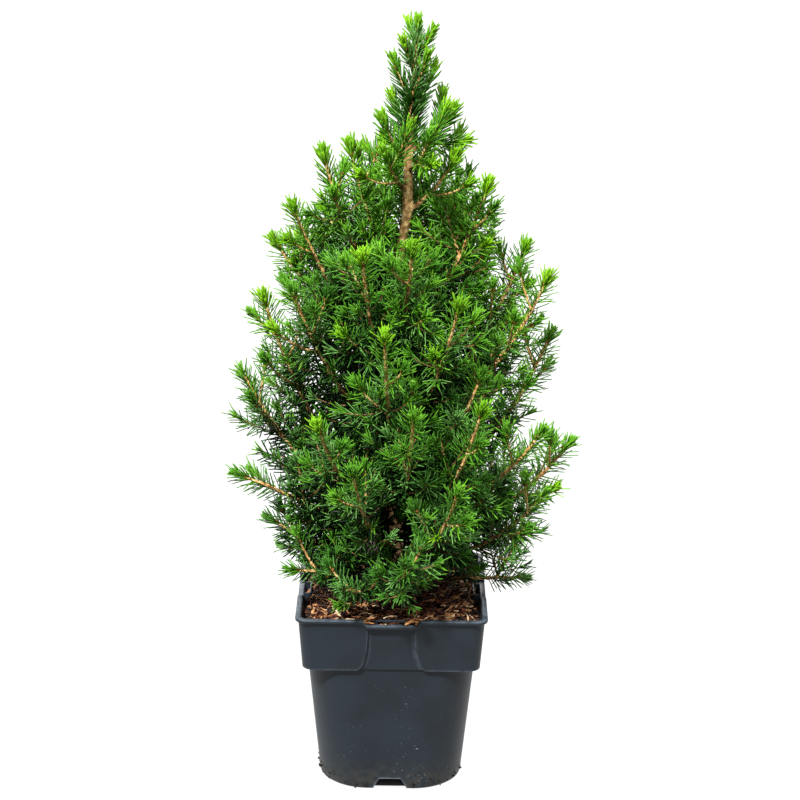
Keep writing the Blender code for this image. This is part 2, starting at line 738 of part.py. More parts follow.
def grow(bark):
    """Every limb and every shoot of the plant, as a filled Space."""
    rng = np.random.default_rng(SEED)
    space = Space()
    space.add_limb(*trunk_samples())
    leader = leader_shoot()
    stems = [(leader, LEADER_TWIGS, LEADER_TWIG_LONGEST, LEADER_TWIG_SHORTEST, LEADER_TWIG_LEAN)]
    for bough in (*BOUGHS, *back_boughs()):
        path = bough_path(bough)
        if bough.limb:
            split = round(bough.limb * (len(path) - 1))
            limb = path[: split + 1]
            make_limb(bough, limb, bark)
            limb_samples = resample(limb, SAMPLE)
            space.add_limb(limb_samples, np.linspace(LIMB_FOOT_RADIUS, STEM_RADIUS, len(limb_samples)))
            step = unit(path[split + 1] - path[split])
            path = np.concatenate([[path[split] + step * CLEAR], path[split + 1 :]])
            shoot = Shoot(bough.name, path, STEM_RADIUS)
        else:
            shoot = Shoot(bough.name, path, STEM_RADIUS, BARE_FOOT, bough.azimuth)
        stems.append((shoot, bough.twigs, TWIG_LONGEST, TWIG_SHORTEST, TWIG_LEAN))
    space.shoots = [shoot for shoot, *_ in stems]
    for shoot, count, longest, shortest, lean in stems:
        grow_twigs(space, shoot, count, longest, shortest, lean, rng)
    return space


def main():
    for obj in list(bpy.data.objects):
        bpy.data.objects.remove(obj)
    plastic = finish("anthracite_plastic", (0.030, 0.040, 0.052), 0.45)
    mulch = finish("bark_mulch", (0.10, 0.045, 0.020), 0.9)
    bark = finish("spruce_bark", (0.22, 0.12, 0.06), 0.8)
    needles = finish("spruce_needles", (0.04, 0.16, 0.04), 0.5)
    rng = np.random.default_rng(SEED)
    make_pot(plastic)
    make_mulch(mulch, rng)
    make_trunk(bark)
    space = grow(bark)
    for mass in dict.fromkeys(shoot.mass for shoot in space.shoots):
        meshes = [shoot_mesh(space, shoot) for shoot in space.shoots if shoot.mass == mass]
        join_mass("foliage_" + mass, meshes, needles)


main()
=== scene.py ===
# %% [markdown]
# # A potted dwarf spruce
# The plant is a young cone-shaped spruce in a square nursery pot. Its solid model is loaded
# first and never moved. Every surface that the eye sees is then grown or turned round those
# solids, in the same metres and on the same origin, which is the middle of the pot's underside.

# %% Load the solid model
import math

import bpy
import numpy as np
from mathutils import Euler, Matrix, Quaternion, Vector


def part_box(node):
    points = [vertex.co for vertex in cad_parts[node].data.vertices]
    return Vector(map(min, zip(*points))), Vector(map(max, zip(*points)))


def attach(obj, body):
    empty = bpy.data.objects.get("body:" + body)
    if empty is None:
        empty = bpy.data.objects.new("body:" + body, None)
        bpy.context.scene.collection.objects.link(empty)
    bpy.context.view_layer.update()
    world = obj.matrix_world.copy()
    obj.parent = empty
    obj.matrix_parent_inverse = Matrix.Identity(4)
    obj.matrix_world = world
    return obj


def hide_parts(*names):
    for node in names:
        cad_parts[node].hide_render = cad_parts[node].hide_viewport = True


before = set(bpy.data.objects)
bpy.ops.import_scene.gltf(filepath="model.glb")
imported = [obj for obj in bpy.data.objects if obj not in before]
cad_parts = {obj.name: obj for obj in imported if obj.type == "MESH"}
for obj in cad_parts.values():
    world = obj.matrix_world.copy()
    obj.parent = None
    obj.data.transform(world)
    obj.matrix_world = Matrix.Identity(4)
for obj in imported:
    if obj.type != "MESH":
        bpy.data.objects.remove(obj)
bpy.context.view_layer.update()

masses = sorted(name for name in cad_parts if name.startswith("foliage_"))
limbs = sorted(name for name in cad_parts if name.startswith("bough_"))
print(f"{len(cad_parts)} solids, {len(masses)} of them masses of foliage")

# %% [markdown]
# ## Helpers for surfaces
# Each piece is an array of points and an array of faces. Working on whole arrays keeps a
# crown of fifty thousand needles quick to build, because no loop visits a single point.

# %% Meshes from arrays
SHARP_ANGLE = math.radians(40)


def make_piece(name, points, *face_sets, slot, finish, stands_for=(), smooth=True, edge_highlight_and_wear=None):
    """A mesh object at the origin from points (n, 3) and sets of faces, each (m, corners).
    `edge_highlight_and_wear` is one number for each point, which a finish can read as an attribute:
    the share of a painted edge highlight, with some rubbing wear."""
    mesh = bpy.data.meshes.new(name)
    points = np.asarray(points, np.float32).reshape(-1, 3)
    corners = np.concatenate([np.asarray(faces, np.int32).ravel() for faces in face_sets])
    sizes = np.concatenate([np.full(len(faces), faces.shape[1]) for faces in face_sets])
    mesh.vertices.add(len(points))
    mesh.vertices.foreach_set("co", points.ravel())
    mesh.loops.add(len(corners))
    mesh.loops.foreach_set("vertex_index", corners)
    mesh.polygons.add(len(sizes))
    starts = np.concatenate([[0], np.cumsum(sizes)[:-1]]).astype(np.int32)
    mesh.polygons.foreach_set("loop_start", starts)
    mesh.update(calc_edges=True)
    if edge_highlight_and_wear is not None:
        mesh.attributes.new("edge_highlight_and_wear", "FLOAT", "POINT").data.foreach_set("value", edge_highlight_and_wear)
    mesh.materials.append(finish)
    if smooth:
        mesh.shade_smooth()
        mesh.set_sharp_from_angle(angle=SHARP_ANGLE)
    piece = bpy.data.objects.new(name, mesh)
    bpy.context.scene.collection.objects.link(piece)
    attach(piece, "root")
    if stands_for:
        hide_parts(*stands_for)
    print(f"{name}: {int((sizes - 2).sum())} triangles")
    return piece


def ring_quads(rings, sides):
    """Quads between neighbours on a grid of rings, each ring closed on itself."""
    ring, side = np.meshgrid(np.arange(rings - 1), np.arange(sides), indexing="ij")
    here = ring * sides + side
    turn = ring * sides + (side + 1) % sides
    return np.stack([here, turn, turn + sides, here + sides], axis=-1).reshape(-1, 4)


def close_ends(points, sides):
    """Adds a point in the middle of the first and the last ring, and a fan of triangles to it."""
    last = len(points) - sides
    side = np.arange(sides)
    turn = (side + 1) % sides
    middles = [points[:sides].mean(axis=0), points[last:].mean(axis=0)]
    first_fan = np.stack([turn, side, np.full(sides, len(points))], axis=1)
    last_fan = np.stack([last + side, last + turn, np.full(sides, len(points) + 1)], axis=1)
    return np.concatenate([points, middles]), np.concatenate([first_fan, last_fan])


def copies(template, points_each, count):
    """A template's faces once for each copy, each copy's points counted on from the last's."""
    firsts = points_each * np.arange(count)[:, None, None]
    return (template[None] + firsts).reshape(-1, template.shape[1])


def unit(vectors):
    """The same directions with a length of 1."""
    return vectors / np.linalg.norm(vectors, axis=-1, keepdims=True)


def smooth_step(share):
    """0 below 0, 1 above 1, and 3s^2 - 2s^3 between."""
    share = np.clip(share, 0.0, 1.0)
    return share * share * (3 - 2 * share)


def lattice_noise(u, v, rng, cells):
    """Soft noise from -1 to 1: a random number at each crossing of a lattice that repeats
    every `cells` cells, blended between crossings with smooth steps."""
    lattice = rng.uniform(-1, 1, (cells, cells))
    low_u, low_v = np.floor(u).astype(int), np.floor(v).astype(int)
    share_u, share_v = smooth_step(u - low_u), smooth_step(v - low_v)
    corner = [[lattice[(low_u + i) % cells, (low_v + j) % cells] for j in (0, 1)] for i in (0, 1)]
    near = corner[0][0] * (1 - share_v) + corner[0][1] * share_v
    far = corner[1][0] * (1 - share_v) + corner[1][1] * share_v
    return near * (1 - share_u) + far * share_u


# %% [markdown]
# ## Helpers for finishes
# A finish is a Principled shader with a few pattern nodes. Colours are written the way a
# paint chart gives them, in sRGB, and turned to linear light, which is what a shader adds up.

# %% Colours and nodes
MILLIMETRE = 0.001


def linear(code):
    """An sRGB hex value as linear light: v / 12.92 in the darks, else ((v + .055) / 1.055)^2.4."""
    values = np.array([int(code[place : place + 2], 16) for place in (1, 3, 5)]) / 255
    bent = np.where(values <= 0.04045, values / 12.92, ((values + 0.055) / 1.055) ** 2.4)
    return (*bent.tolist(), 1.0)


def add_node(tree, kind, settings, links):
    """A shader node. A setting's name is a property or an input, and a number is an input's
    place. A link joins an output to the named input."""
    node = tree.nodes.new("ShaderNode" + kind)
    for name, value in settings.items():
        if isinstance(name, str) and hasattr(node, name):
            setattr(node, name, value)
        else:
            node.inputs[name].default_value = value
    for name, output in links.items():
        tree.links.new(output, node.inputs[name])
    return node


def new_finish(name, settings):
    """A material with its shader's own sockets set, and the output of its Object coordinates."""
    material = bpy.data.materials.new(name)
    material.use_nodes = True
    tree = material.node_tree
    shader = tree.nodes["Principled BSDF"]
    for socket, value in settings.items():
        shader.inputs[socket].default_value = value
    return material, tree, shader, add_node(tree, "TexCoord", {}, {}).outputs["Object"]


def patches(tree, place, size, colours, detail=3.0, spread=(0.35, 0.65)):
    """The colour of soft patches of the given size in metres, from the first colour to the
    last: noise read through a colour ramp."""
    noise = add_node(tree, "TexNoise", {"Scale": 1 / size, "Detail": detail}, {"Vector": place})
    ramp = add_node(tree, "ValToRGB", {}, {"Fac": noise.outputs["Fac"]})
    stops = ramp.color_ramp.elements
    while len(stops) < len(colours):
        stops.new(0.5)
    for stop, share, colour in zip(stops, np.linspace(*spread, len(colours)), colours):
        stop.position = share
        stop.color = linear(colour)
    return ramp.outputs["Color"]


def roughen(tree, shader, place, size, detail, depth):
    """A rough face: noise of the given size read as relief of the given depth, in metres."""
    noise = add_node(tree, "TexNoise", {"Scale": 1 / size, "Detail": detail}, {"Vector": place})
    bump = add_node(tree, "Bump", {"Distance": depth}, {"Height": noise.outputs["Fac"]})
    tree.links.new(bump.outputs["Normal"], shader.inputs["Normal"])


print("sRGB mid grey in linear light:", round(linear("#808080")[0], 3))

# %% [markdown]
# ## The pot's plastic
# The pot is injection-moulded polypropylene, coloured all through with anthracite and drawn
# from a fine-blasted mould. The eye sees a dull slate blue-grey with a broad soft sheen, a few
# pale rubbed specks and short scratches low on the body, and earth dried on at the foot. A paler
# colour along the raised edges is a painted highlight, with some rubbing wear in it.

# %% Moulded polypropylene
PLASTIC = ("#161c22", "#1b232a")
SPECK = "#99a2a4"
# a paler slate for the raised edges: a painted highlight, with some rubbing wear
EDGE_HIGHLIGHT_AND_WEAR = "#454e56"
DRIED_EARTH = "#34322e"
# cell width of specks and scratches, their half-width as a share of it, length and slope
SPECKS = ((0.0024, 0.13, 1.0, 0.0), (0.0052, 0.06, 4.0, 0.2), (0.0070, 0.05, 5.0, -0.7))
SCUFFED_BELOW, SCUFFED_FULLY = 0.095, 0.02  # heights in metres
EARTH_BELOW = 0.024
GRIME_SIZE, HANDLED_SIZE = 0.005, 0.020


def moulded_polypropylene():
    material, tree, shader, place = new_finish(
        "moulded_polypropylene", {"Roughness": 0.46, "IOR": 1.49, "Specular IOR Level": 0.25}
    )
    colour = patches(tree, place, 30 * MILLIMETRE, PLASTIC)
    height = add_node(tree, "SeparateXYZ", {}, {"Vector": place}).outputs["Z"]
    # the share of the painted edge highlight and wear, written on the pot's points
    edge_highlight_and_wear = add_node(tree, "Attribute", {"attribute_name": "edge_highlight_and_wear"}, {})
    at = {"Vector": place}
    grime, handled = [
        add_node(tree, "TexNoise", {"Scale": 1 / size, "Detail": detail}, at).outputs["Fac"]
        for size, detail in ((GRIME_SIZE, 5.0), (HANDLED_SIZE, 2.0))
    ]
    # Between two values of a pattern, a share goes from none to full.
    splashed, low_down, often = [
        add_node(tree, "MapRange", {"From Min": none, "From Max": full}, {0: pattern}).outputs[0]
        for pattern, none, full in (
            (height, EARTH_BELOW, 0.0),
            (height, SCUFFED_BELOW, SCUFFED_FULLY),
            (handled, 0.49, 0.60),
        )
    ]
    scuffed = add_node(tree, "Math", {"operation": "MULTIPLY"}, {0: often, 1: low_down}).outputs[0]
    # Each layer: a pattern, the values where it starts and is full, where it may lie, its colour.
    layers = [
        (grime, 0.36, 0.60, splashed, DRIED_EARTH),
        # paler along the raised edges: a painted highlight, with some rubbing wear
        (grime, 0.25, 0.55, edge_highlight_and_wear.outputs["Fac"], EDGE_HIGHLIGHT_AND_WEAR),
    ]
    for cell, radius, stretch, slope in SPECKS:
        drawn_out = {"Scale": (1 / stretch, 1 / stretch, 1.0), "Rotation": (slope, slope, 0.0)}
        turned = add_node(tree, "Mapping", drawn_out, {"Vector": place})
        cells = add_node(tree, "TexVoronoi", {"Scale": 1 / cell}, {"Vector": turned.outputs[0]})
        layers.append((cells.outputs["Distance"], radius, radius * 0.4, scuffed, SPECK))
    for pattern, start, full, where, code in layers:
        bounds = {"From Min": start, "From Max": full}
        shape = add_node(tree, "MapRange", bounds, {"Value": pattern}).outputs["Result"]
        share = add_node(tree, "Math", {"operation": "MULTIPLY"}, {0: shape, 1: where})
        layer = {"data_type": "RGBA", 7: linear(code)}
        colour = add_node(tree, "Mix", layer, {0: share.outputs[0], 6: colour}).outputs[2]
    tree.links.new(colour, shader.inputs["Base Color"])
    # A blasted mould leaves a grain of about 0.3 mm. It is drawn at 1.2 mm so that it shows.
    roughen(tree, shader, place, 0.0012, 2.0, 0.00004)
    return material


PLASTIC_FINISH = moulded_polypropylene()
print("plastic:", PLASTIC_FINISH.name)

# %% [markdown]
# ## The pot
# A square pot is a stack of rounded squares, each a little different: round-cornered at the
# foot and nearly square at the lip. So the surface is a grid: one parameter climbs the
# profile, up the outside and down the inside, and the other goes round the outline. Columns of
# the grid follow the edges of the panel in each side, so those edges stay crisp while they
# swing outwards at the foot.

# %% The pot's sizes
_, pot_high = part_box("pot")
POT_HEIGHT = pot_high.z
LIP_HALF = pot_high.x
LIP_CORNER = 0.0080
LIP_DEPTH = 0.0026
LIP_INNER_HALF = 0.0613
COLLAR_FOOT = 0.0943
COLLAR_TOP_HALF = 0.0631
COLLAR_FOOT_HALF = 0.0604
COLLAR_CORNER = 0.0085
COLLAR_WALL = 0.0030
BODY_TOP_HALF = 0.0575
BODY_TOP_CORNER = 0.0250
BODY_FOOT_HALF = 0.0492
BODY_FOOT_CORNER = 0.0335
BODY_WALL = 0.0016
FLOOR = 0.0030
PANEL_HALF = 0.0152
PANEL_FLARE = 0.0050
PANEL_FLARE_POWER = 4
LOBE_ROUNDING, LOBE_ROUNDING_FADE = 0.0024, 0.0016
PANEL_STEP = 0.0009
PANEL_RECESS = 0.0018
PANEL_LIFT = 0.0012
NOTCH_HALF = 0.0160
NOTCH_SLOPE = 0.0043
NOTCH_DEPTH = 0.0036
MULCH_EDGE = 0.1245
MULCH_TOP = 0.1268
LIP_FOOT = POT_HEIGHT - LIP_DEPTH
ARC_POINTS = 4
print(f"pot {2000 * LIP_HALF:.0f} mm square and {1000 * POT_HEIGHT:.1f} mm high")

# %% Levels and rounded edges
MOST_ROUNDED = 0.48  # share of the way to the next level that a rounding may take
HEIGHT, HALF, CORNER, PANEL, STEP, RECESS, LIFT = range(7)


def level(height, half, corner, panel=PANEL_HALF, step=PANEL_STEP, recess=0.0, lift=0.0):
    """One rounded square of the pot, as the seven numbers that describe it."""
    return np.array([height, half, corner, panel, step, recess, lift])


def collar_half(height):
    """Half the collar's width: a straight taper from its foot to the lip."""
    share = (height - COLLAR_FOOT) / (LIP_FOOT - COLLAR_FOOT)
    return COLLAR_FOOT_HALF + (COLLAR_TOP_HALF - COLLAR_FOOT_HALF) * share


def panel_level(height):
    """A level of the collar. The panel's half-width grows by the flare times the fourth power
    of the drop, and the last few millimetres round the lobes' lower corners off."""
    drop = 1 - (height - COLLAR_FOOT) / (POT_HEIGHT - COLLAR_FOOT)
    rounding = LOBE_ROUNDING * math.exp(-(height - COLLAR_FOOT) / LOBE_ROUNDING_FADE)
    panel = PANEL_HALF + PANEL_FLARE * drop**PANEL_FLARE_POWER + rounding
    lift = PANEL_LIFT * (height == COLLAR_FOOT)
    return level(height, collar_half(height), COLLAR_CORNER, panel, PANEL_STEP, PANEL_RECESS, lift)


def round_profile(levels, radii):
    """Replaces each level that has a radius by a curve between its two neighbours: the
    quadratic curve a(1-t)^2 + 2kt(1-t) + bt^2, where a and b lie a radius away from level k."""
    rounded = []
    share = np.linspace(0, 1, ARC_POINTS)[:, None]
    for index, (here, radius) in enumerate(zip(levels, radii)):
        if not radius:
            rounded.append(here[None])
            continue
        ends = []
        for other in (levels[index - 1], levels[index + 1]):
            away = np.linalg.norm((other - here)[[HEIGHT, HALF]])
            ends.append(here + (other - here) * min(radius / away, MOST_ROUNDED))
        before, after = ends
        rest = 1 - share
        rounded.append(rest**2 * before + 2 * share * rest * here + share**2 * after)
    return np.concatenate(rounded)


# %% Points round each level
COLUMNS = (6, 6, 8, 7)  # on half a panel, its step, the flat side and half a corner
# how far the painted edge highlight and wear reach from each raised edge
EDGE_HIGHLIGHT_WIDTH = 0.0007
FOOT_HIGHLIGHT_AND_WEAR, LIP_HIGHLIGHT_AND_WEAR = 0.9, 0.8  # the collar's foot and the lip get a little less of the painted highlight and wear
QUARTER_TURNS = [
    np.array([[cos, sin, 0], [-sin, cos, 0], [0, 0, 1]])
    for cos, sin in ((1, 0), (0, 1), (-1, 0), (0, -1))
]


def on_four_sides(points, *face_sets):
    """A shape made for the front, and its copies turned by one, two and three quarters."""
    turned = np.concatenate([points @ turn for turn in QUARTER_TURNS])
    return turned, *[copies(faces, len(points), len(QUARTER_TURNS)) for faces in face_sets]


def outlines(levels):
    """Points (levels, columns, 3 and the share of painted highlight and wear) round rounded
    squares.
    From the middle of each side a column stands some way along: on the flat panel, on the step,
    which falls back by the recess on a smooth step, on the flat side, or round the corner's arc of
    half - corner + corner (cos, sin). The painted highlight and wear fade from each raised edge as
    e^-(distance/width)^2."""
    values = levels.T[:, :, None]
    edge = values[PANEL] + values[STEP]
    straight = values[HALF] - values[CORNER]
    side_end = np.maximum(straight, edge + values[STEP])
    arc_end = straight + values[CORNER] * math.pi / 4
    shares = [np.arange(1, count + 1) / count for count in COLUMNS]
    shares[2] = shares[2] ** 2
    along = np.concatenate(
        [
            0 * edge,
            values[PANEL] * shares[0],
            values[PANEL] + values[STEP] * shares[1],
            edge + (side_end - edge) * shares[2],
            side_end + (arc_end - side_end) * shares[3],
        ],
        axis=1,
    )
    inside = 1 - smooth_step((along - values[PANEL]) / values[STEP])
    angle = np.maximum(along - straight, 0) / values[CORNER]
    across = np.minimum(along, straight) + values[CORNER] * np.sin(angle)
    out = straight + values[CORNER] * np.cos(angle) - inside * values[RECESS]
    height = values[HEIGHT] + inside * values[LIFT]
    on_collar = values[RECESS] > 0
    rim, foot, lip = [
        np.exp(-((distance / EDGE_HIGHLIGHT_WIDTH) ** 2)) * where
        for distance, where in (
            (along - edge + EDGE_HIGHLIGHT_WIDTH / 2, on_collar),
            (height - COLLAR_FOOT, on_collar * (1 - inside)),
            (height - POT_HEIGHT - inside * values[LIFT], out > LIP_INNER_HALF),
        )
    ]
    edge_highlight_and_wear = np.maximum(np.maximum(rim, FOOT_HIGHLIGHT_AND_WEAR * foot), LIP_HIGHLIGHT_AND_WEAR * lip)
    half_side = np.stack([across, -out, np.broadcast_to(height, across.shape), edge_highlight_and_wear], axis=-1)
    mirrored = half_side[:, -2:0:-1] * (-1, 1, 1, 1)
    side = np.concatenate([mirrored, half_side], axis=1)
    places = np.concatenate([side[..., :3] @ turn for turn in QUARTER_TURNS], axis=1)
    return np.concatenate([places, np.tile(side[..., 3:], (1, len(QUARTER_TURNS), 1))], axis=2)


# %% The shell, with drain notches cut through its foot
DRAIN_HALF, DRAIN_TOP_HALF, DRAIN_HEIGHT = 0.0121, 0.0075, 0.0087
DRAIN_INNER, DRAIN_OUTER = 0.0370, 0.0520
DRAIN_BELOW = 0.01  # the cutters start this far under the ground
HOLLOW, HOLLOW_HALF, HOLLOW_CORNER = 0.0010, 0.040, 0.028  # the underside is hollowed a little
RIM_HALF, RIM_CORNER = 0.0415, 0.029
MIDDLE = {"half": 0.012, "corner": 0.010, "panel": 0.004, "step": 0.001}
PANEL_HEIGHTS = COLLAR_FOOT + (LIP_FOOT - NOTCH_DEPTH - COLLAR_FOOT) * np.linspace(0, 1, 16) ** 1.8
BODY_RINGS = 9


def shell_levels():
    """The profile from the middle of the underside, up the outside, over the lip and down the
    inside to the middle of the floor. Each level comes with the radius of its edge."""
    notch = {"panel": NOTCH_HALF, "step": NOTCH_SLOPE, "lift": -NOTCH_DEPTH}
    flared = PANEL_HALF + PANEL_FLARE + LOBE_ROUNDING
    ledge = COLLAR_FOOT + BODY_WALL
    inner_foot = BODY_FOOT_HALF - BODY_WALL
    inner_corner = BODY_FOOT_CORNER - BODY_WALL
    foot = level(0, BODY_FOOT_HALF, BODY_FOOT_CORNER)
    shoulder = level(COLLAR_FOOT, BODY_TOP_HALF, BODY_TOP_CORNER, flared, lift=PANEL_LIFT)
    pairs = [
        (level(HOLLOW, **MIDDLE), 0),
        (level(HOLLOW, HOLLOW_HALF, HOLLOW_CORNER), 0.0006),
        (level(0, RIM_HALF, RIM_CORNER), 0.0004),
        (foot, 0.0024),
        *[(foot + (shoulder - foot) * share, 0) for share in np.linspace(0.08, 0.94, BODY_RINGS)],
        (shoulder, 0.0005),
        (panel_level(COLLAR_FOOT), 0.0009),
        *[(panel_level(height), 0) for height in PANEL_HEIGHTS[1:]],
        (level(LIP_FOOT, COLLAR_TOP_HALF, COLLAR_CORNER, **notch), 0.0005),
        (level(LIP_FOOT, LIP_HALF, LIP_CORNER, **notch), 0.0008),
        (level(POT_HEIGHT, LIP_HALF, LIP_CORNER, **notch), 0.0009),
        (level(POT_HEIGHT, LIP_INNER_HALF, COLLAR_CORNER - BODY_WALL, **notch), 0.0007),
        (level(MULCH_EDGE, collar_half(MULCH_EDGE) - COLLAR_WALL, COLLAR_CORNER), 0.0020),
        (level(ledge, COLLAR_FOOT_HALF - COLLAR_WALL, COLLAR_CORNER), 0.0006),
        (level(ledge, BODY_TOP_HALF - BODY_WALL, BODY_TOP_CORNER - BODY_WALL), 0.0003),
        (level(FLOOR, inner_foot, inner_corner), 0.0020),
        (level(FLOOR, **MIDDLE), 0),
    ]
    return round_profile(*zip(*pairs))


def drain_cutter():
    """Four prisms, one through the foot of each side, wider at the ground than at the top."""
    profile = (
        (-DRAIN_HALF, -DRAIN_BELOW), (DRAIN_HALF, -DRAIN_BELOW), (DRAIN_HALF, 0),
        (DRAIN_TOP_HALF, DRAIN_HEIGHT), (-DRAIN_TOP_HALF, DRAIN_HEIGHT), (-DRAIN_HALF, 0),
    )
    front = np.array([(along, -out, height) for out in (DRAIN_INNER, DRAIN_OUTER)
                      for along, height in profile])
    ends = [(5, 4, 3, 2, 1, 0), tuple(range(6, 12))]
    walls = ring_quads(2, 6).tolist()
    faces = [[first + corner for corner in face]
             for first in range(0, 4 * len(front), len(front)) for face in (*ends, *walls)]
    mesh = bpy.data.meshes.new("drain_cutter")
    mesh.from_pydata(on_four_sides(front)[0].tolist(), [], faces)
    cutter = bpy.data.objects.new("drain_cutter", mesh)
    bpy.context.scene.collection.objects.link(cutter)
    return cutter


def make_pot():
    """The grid of all levels, closed in the middle of the floor, with the notches cut out."""
    grid = outlines(shell_levels())
    rings, sides = grid.shape[:2]
    points, fans = close_ends(grid.reshape(-1, 4), sides)
    pot = make_piece(
        "pot_shell", points[:, :3], ring_quads(rings, sides), fans, slot="pot_plastic",
        finish=PLASTIC_FINISH, stands_for=["pot"], edge_highlight_and_wear=points[:, 3].astype(np.float32),
    )
    cutter = drain_cutter()
    cut = pot.modifiers.new("drains", "BOOLEAN")
    cut.operation = "DIFFERENCE"
    cut.object = cutter
    graph = bpy.context.evaluated_depsgraph_get()
    pot.data = bpy.data.meshes.new_from_object(pot.evaluated_get(graph))
    pot.modifiers.clear()
    bpy.data.objects.remove(cutter)
    pot.data.shade_smooth()
    pot.data.set_sharp_from_angle(angle=SHARP_ANGLE)
    print(f"pot_shell with its drains: {len(pot.data.polygons)} faces")


make_pot()

# %% A raised rim round each drain notch
RIM_RADIUS, RIM_SIDES = 0.00055, 6
RIM_FOOT = 0.0012
# the rims take the paler edge colour: a painted highlight, with some rubbing wear
RIM_HIGHLIGHT_AND_WEAR = 0.8
BODY_FLARE = (BODY_TOP_HALF - BODY_FOOT_HALF) / COLLAR_FOOT


def drain_rims():
    """A tube along the notch's three edges on each face: rings of six points round the path,
    tilted at each corner to the bisector of its two sides."""
    corners = np.array([(-DRAIN_HALF, RIM_FOOT), (-DRAIN_TOP_HALF, DRAIN_HEIGHT),
                        (DRAIN_TOP_HALF, DRAIN_HEIGHT), (DRAIN_HALF, RIM_FOOT)])
    along, height = corners.T
    path = np.stack([along, -BODY_FOOT_HALF - BODY_FLARE * height, height], axis=1)
    ways = unit(np.gradient(path, axis=0))
    outs = np.broadcast_to([0.0, -1.0, 0.0], ways.shape)
    sides = unit(np.cross(ways, outs))
    angle = 2 * math.pi * np.arange(RIM_SIDES)[None, :, None] / RIM_SIDES
    ring = np.cos(angle) * outs[:, None] + np.sin(angle) * sides[:, None]
    points, fans = close_ends((path[:, None] + RIM_RADIUS * ring).reshape(-1, 3), RIM_SIDES)
    points, quads, fans = on_four_sides(points, ring_quads(len(path), RIM_SIDES), fans)
    make_piece("drain_rims", points, quads, fans, slot="pot_plastic", finish=PLASTIC_FINISH,
               edge_highlight_and_wear=np.full(len(points), RIM_HIGHLIGHT_AND_WEAR, np.float32))


drain_rims()

# %% [markdown]
# ## The label pockets
# Behind the dip in each side of the lip a strip bridges two short posts, so that a plant label
# slides down between it and the pot. It is one rectangle carried along a path with two round
# bends. The rectangle is tall at the posts and low along the bridge.

# %% Pockets
POCKET_HALF, POCKET_DEPTH, POCKET_WALL = 0.0102, 0.0030, 0.0011
POCKET_TOP = POT_HEIGHT - 0.0024
POCKET_FOOT = MULCH_EDGE - 0.004
POCKET_CROWN = 0.6  # the flat of its top edge, as a share of its wall
POCKET_SUNK = 0.001  # how far its posts reach into the pot's wall
POCKET_ROUNDING = 0.0003
POCKET_BEND, BEND_STEPS = 0.0012, 5
BRIDGE_TALL = 0.0014
BRIDGE_FROM, BRIDGE_STEP = 0.0004, 0.0006


def make_pockets():
    """The path runs in from the pot's wall, across, and back: straight lines joined by quarter
    circles. Each station has six corners: in and out by half the wall, low, high and rounded."""
    face = -(collar_half(MULCH_EDGE) - COLLAR_WALL)
    angle = np.linspace(0, math.pi / 2, BEND_STEPS)
    bend = np.stack([np.cos(angle), np.sin(angle)], axis=1) * POCKET_BEND
    bend += (POCKET_HALF - POCKET_BEND, face + POCKET_DEPTH - POCKET_BEND)
    right = np.concatenate([[(POCKET_HALF, face - POCKET_SUNK)], bend])
    path = np.concatenate([right, right[::-1] * (-1, 1)])
    way = unit(np.gradient(path, axis=0))
    aside = np.stack([way[:, 1], -way[:, 0]], axis=1) * POCKET_WALL / 2
    high = np.full((len(path), 1), POCKET_TOP)
    on_bridge = smooth_step((POCKET_HALF - BRIDGE_FROM - np.abs(path[:, :1])) / BRIDGE_STEP)
    low = POCKET_FOOT + (POCKET_TOP - BRIDGE_TALL - POCKET_FOOT) * on_bridge
    rounded = high - POCKET_ROUNDING
    section = (
        (1, low), (1, rounded), (POCKET_CROWN, high),
        (-POCKET_CROWN, high), (-1, rounded), (-1, low),
    )
    wall = np.stack([np.concatenate([path + side * aside, height], axis=1)
                     for side, height in section], axis=1)
    points, fans = close_ends(wall.reshape(-1, 3), len(section))
    make_piece("label_pockets", *on_four_sides(points, ring_quads(len(path), len(section)), fans),
               slot="pot_plastic", finish=PLASTIC_FINISH)


make_pockets()

# %% [markdown]
# ## The mulch
# The pot is topped with shredded bark: dark crumbs, flat chips, and a felt of curled fibres,
# from nearly black through fox red to straw. A bumpy bed gives the crumbs, and arrays of chips
# and fibres lie on it. They are sorted by colour into pieces with one base colour each.

# %% Bark finishes
MULCH_COLOURS = {
    "dark": ("#130b07", "#2c1a12"),
    "red": ("#3c1d11", "#6e3c24"),
    "tan": ("#875833", "#c08d5c"),
    "straw": ("#c49c74", "#e2caa8"),
}


def shredded_bark(name, colours):
    """Torn, dry and fibrous: no gloss, patches of lighter and darker bark, and a rough face."""
    material, tree, shader, place = new_finish(
        "shredded_bark_" + name, {"Roughness": 0.85, "IOR": 1.45, "Specular IOR Level": 0.3}
    )
    tree.links.new(patches(tree, place, 2.5 * MILLIMETRE, colours), shader.inputs["Base Color"])
    roughen(tree, shader, place, 0.0008, 3.0, 0.0002)
    return material


BED_FINISH = shredded_bark("crumbs", ("#090503", "#1a0f09", "#3c2317"))
print("bark finishes:", ", ".join(MULCH_COLOURS))

# %% The bed
mulch_rng = np.random.default_rng(8)
BED_HALF = collar_half(MULCH_EDGE) - COLLAR_WALL
BED_STEP = 0.0011
BED_STEEPER = 1.4
BED_CORNER_PULL = 0.045
BED_SKIRT = 0.006
CRUMBS = ((0.0095, 0.0010), (0.0042, 0.0007), (0.0019, 0.0005))  # size and height of each lump
PILES = ((-0.0175, -0.0560), (0.0165, -0.0560))
PILE_HEIGHT, PILE_WIDTH = 0.0052, 0.0062
LATTICE = 64
lumps = [(size, height, mulch_rng.integers(1 << 30)) for size, height in CRUMBS]


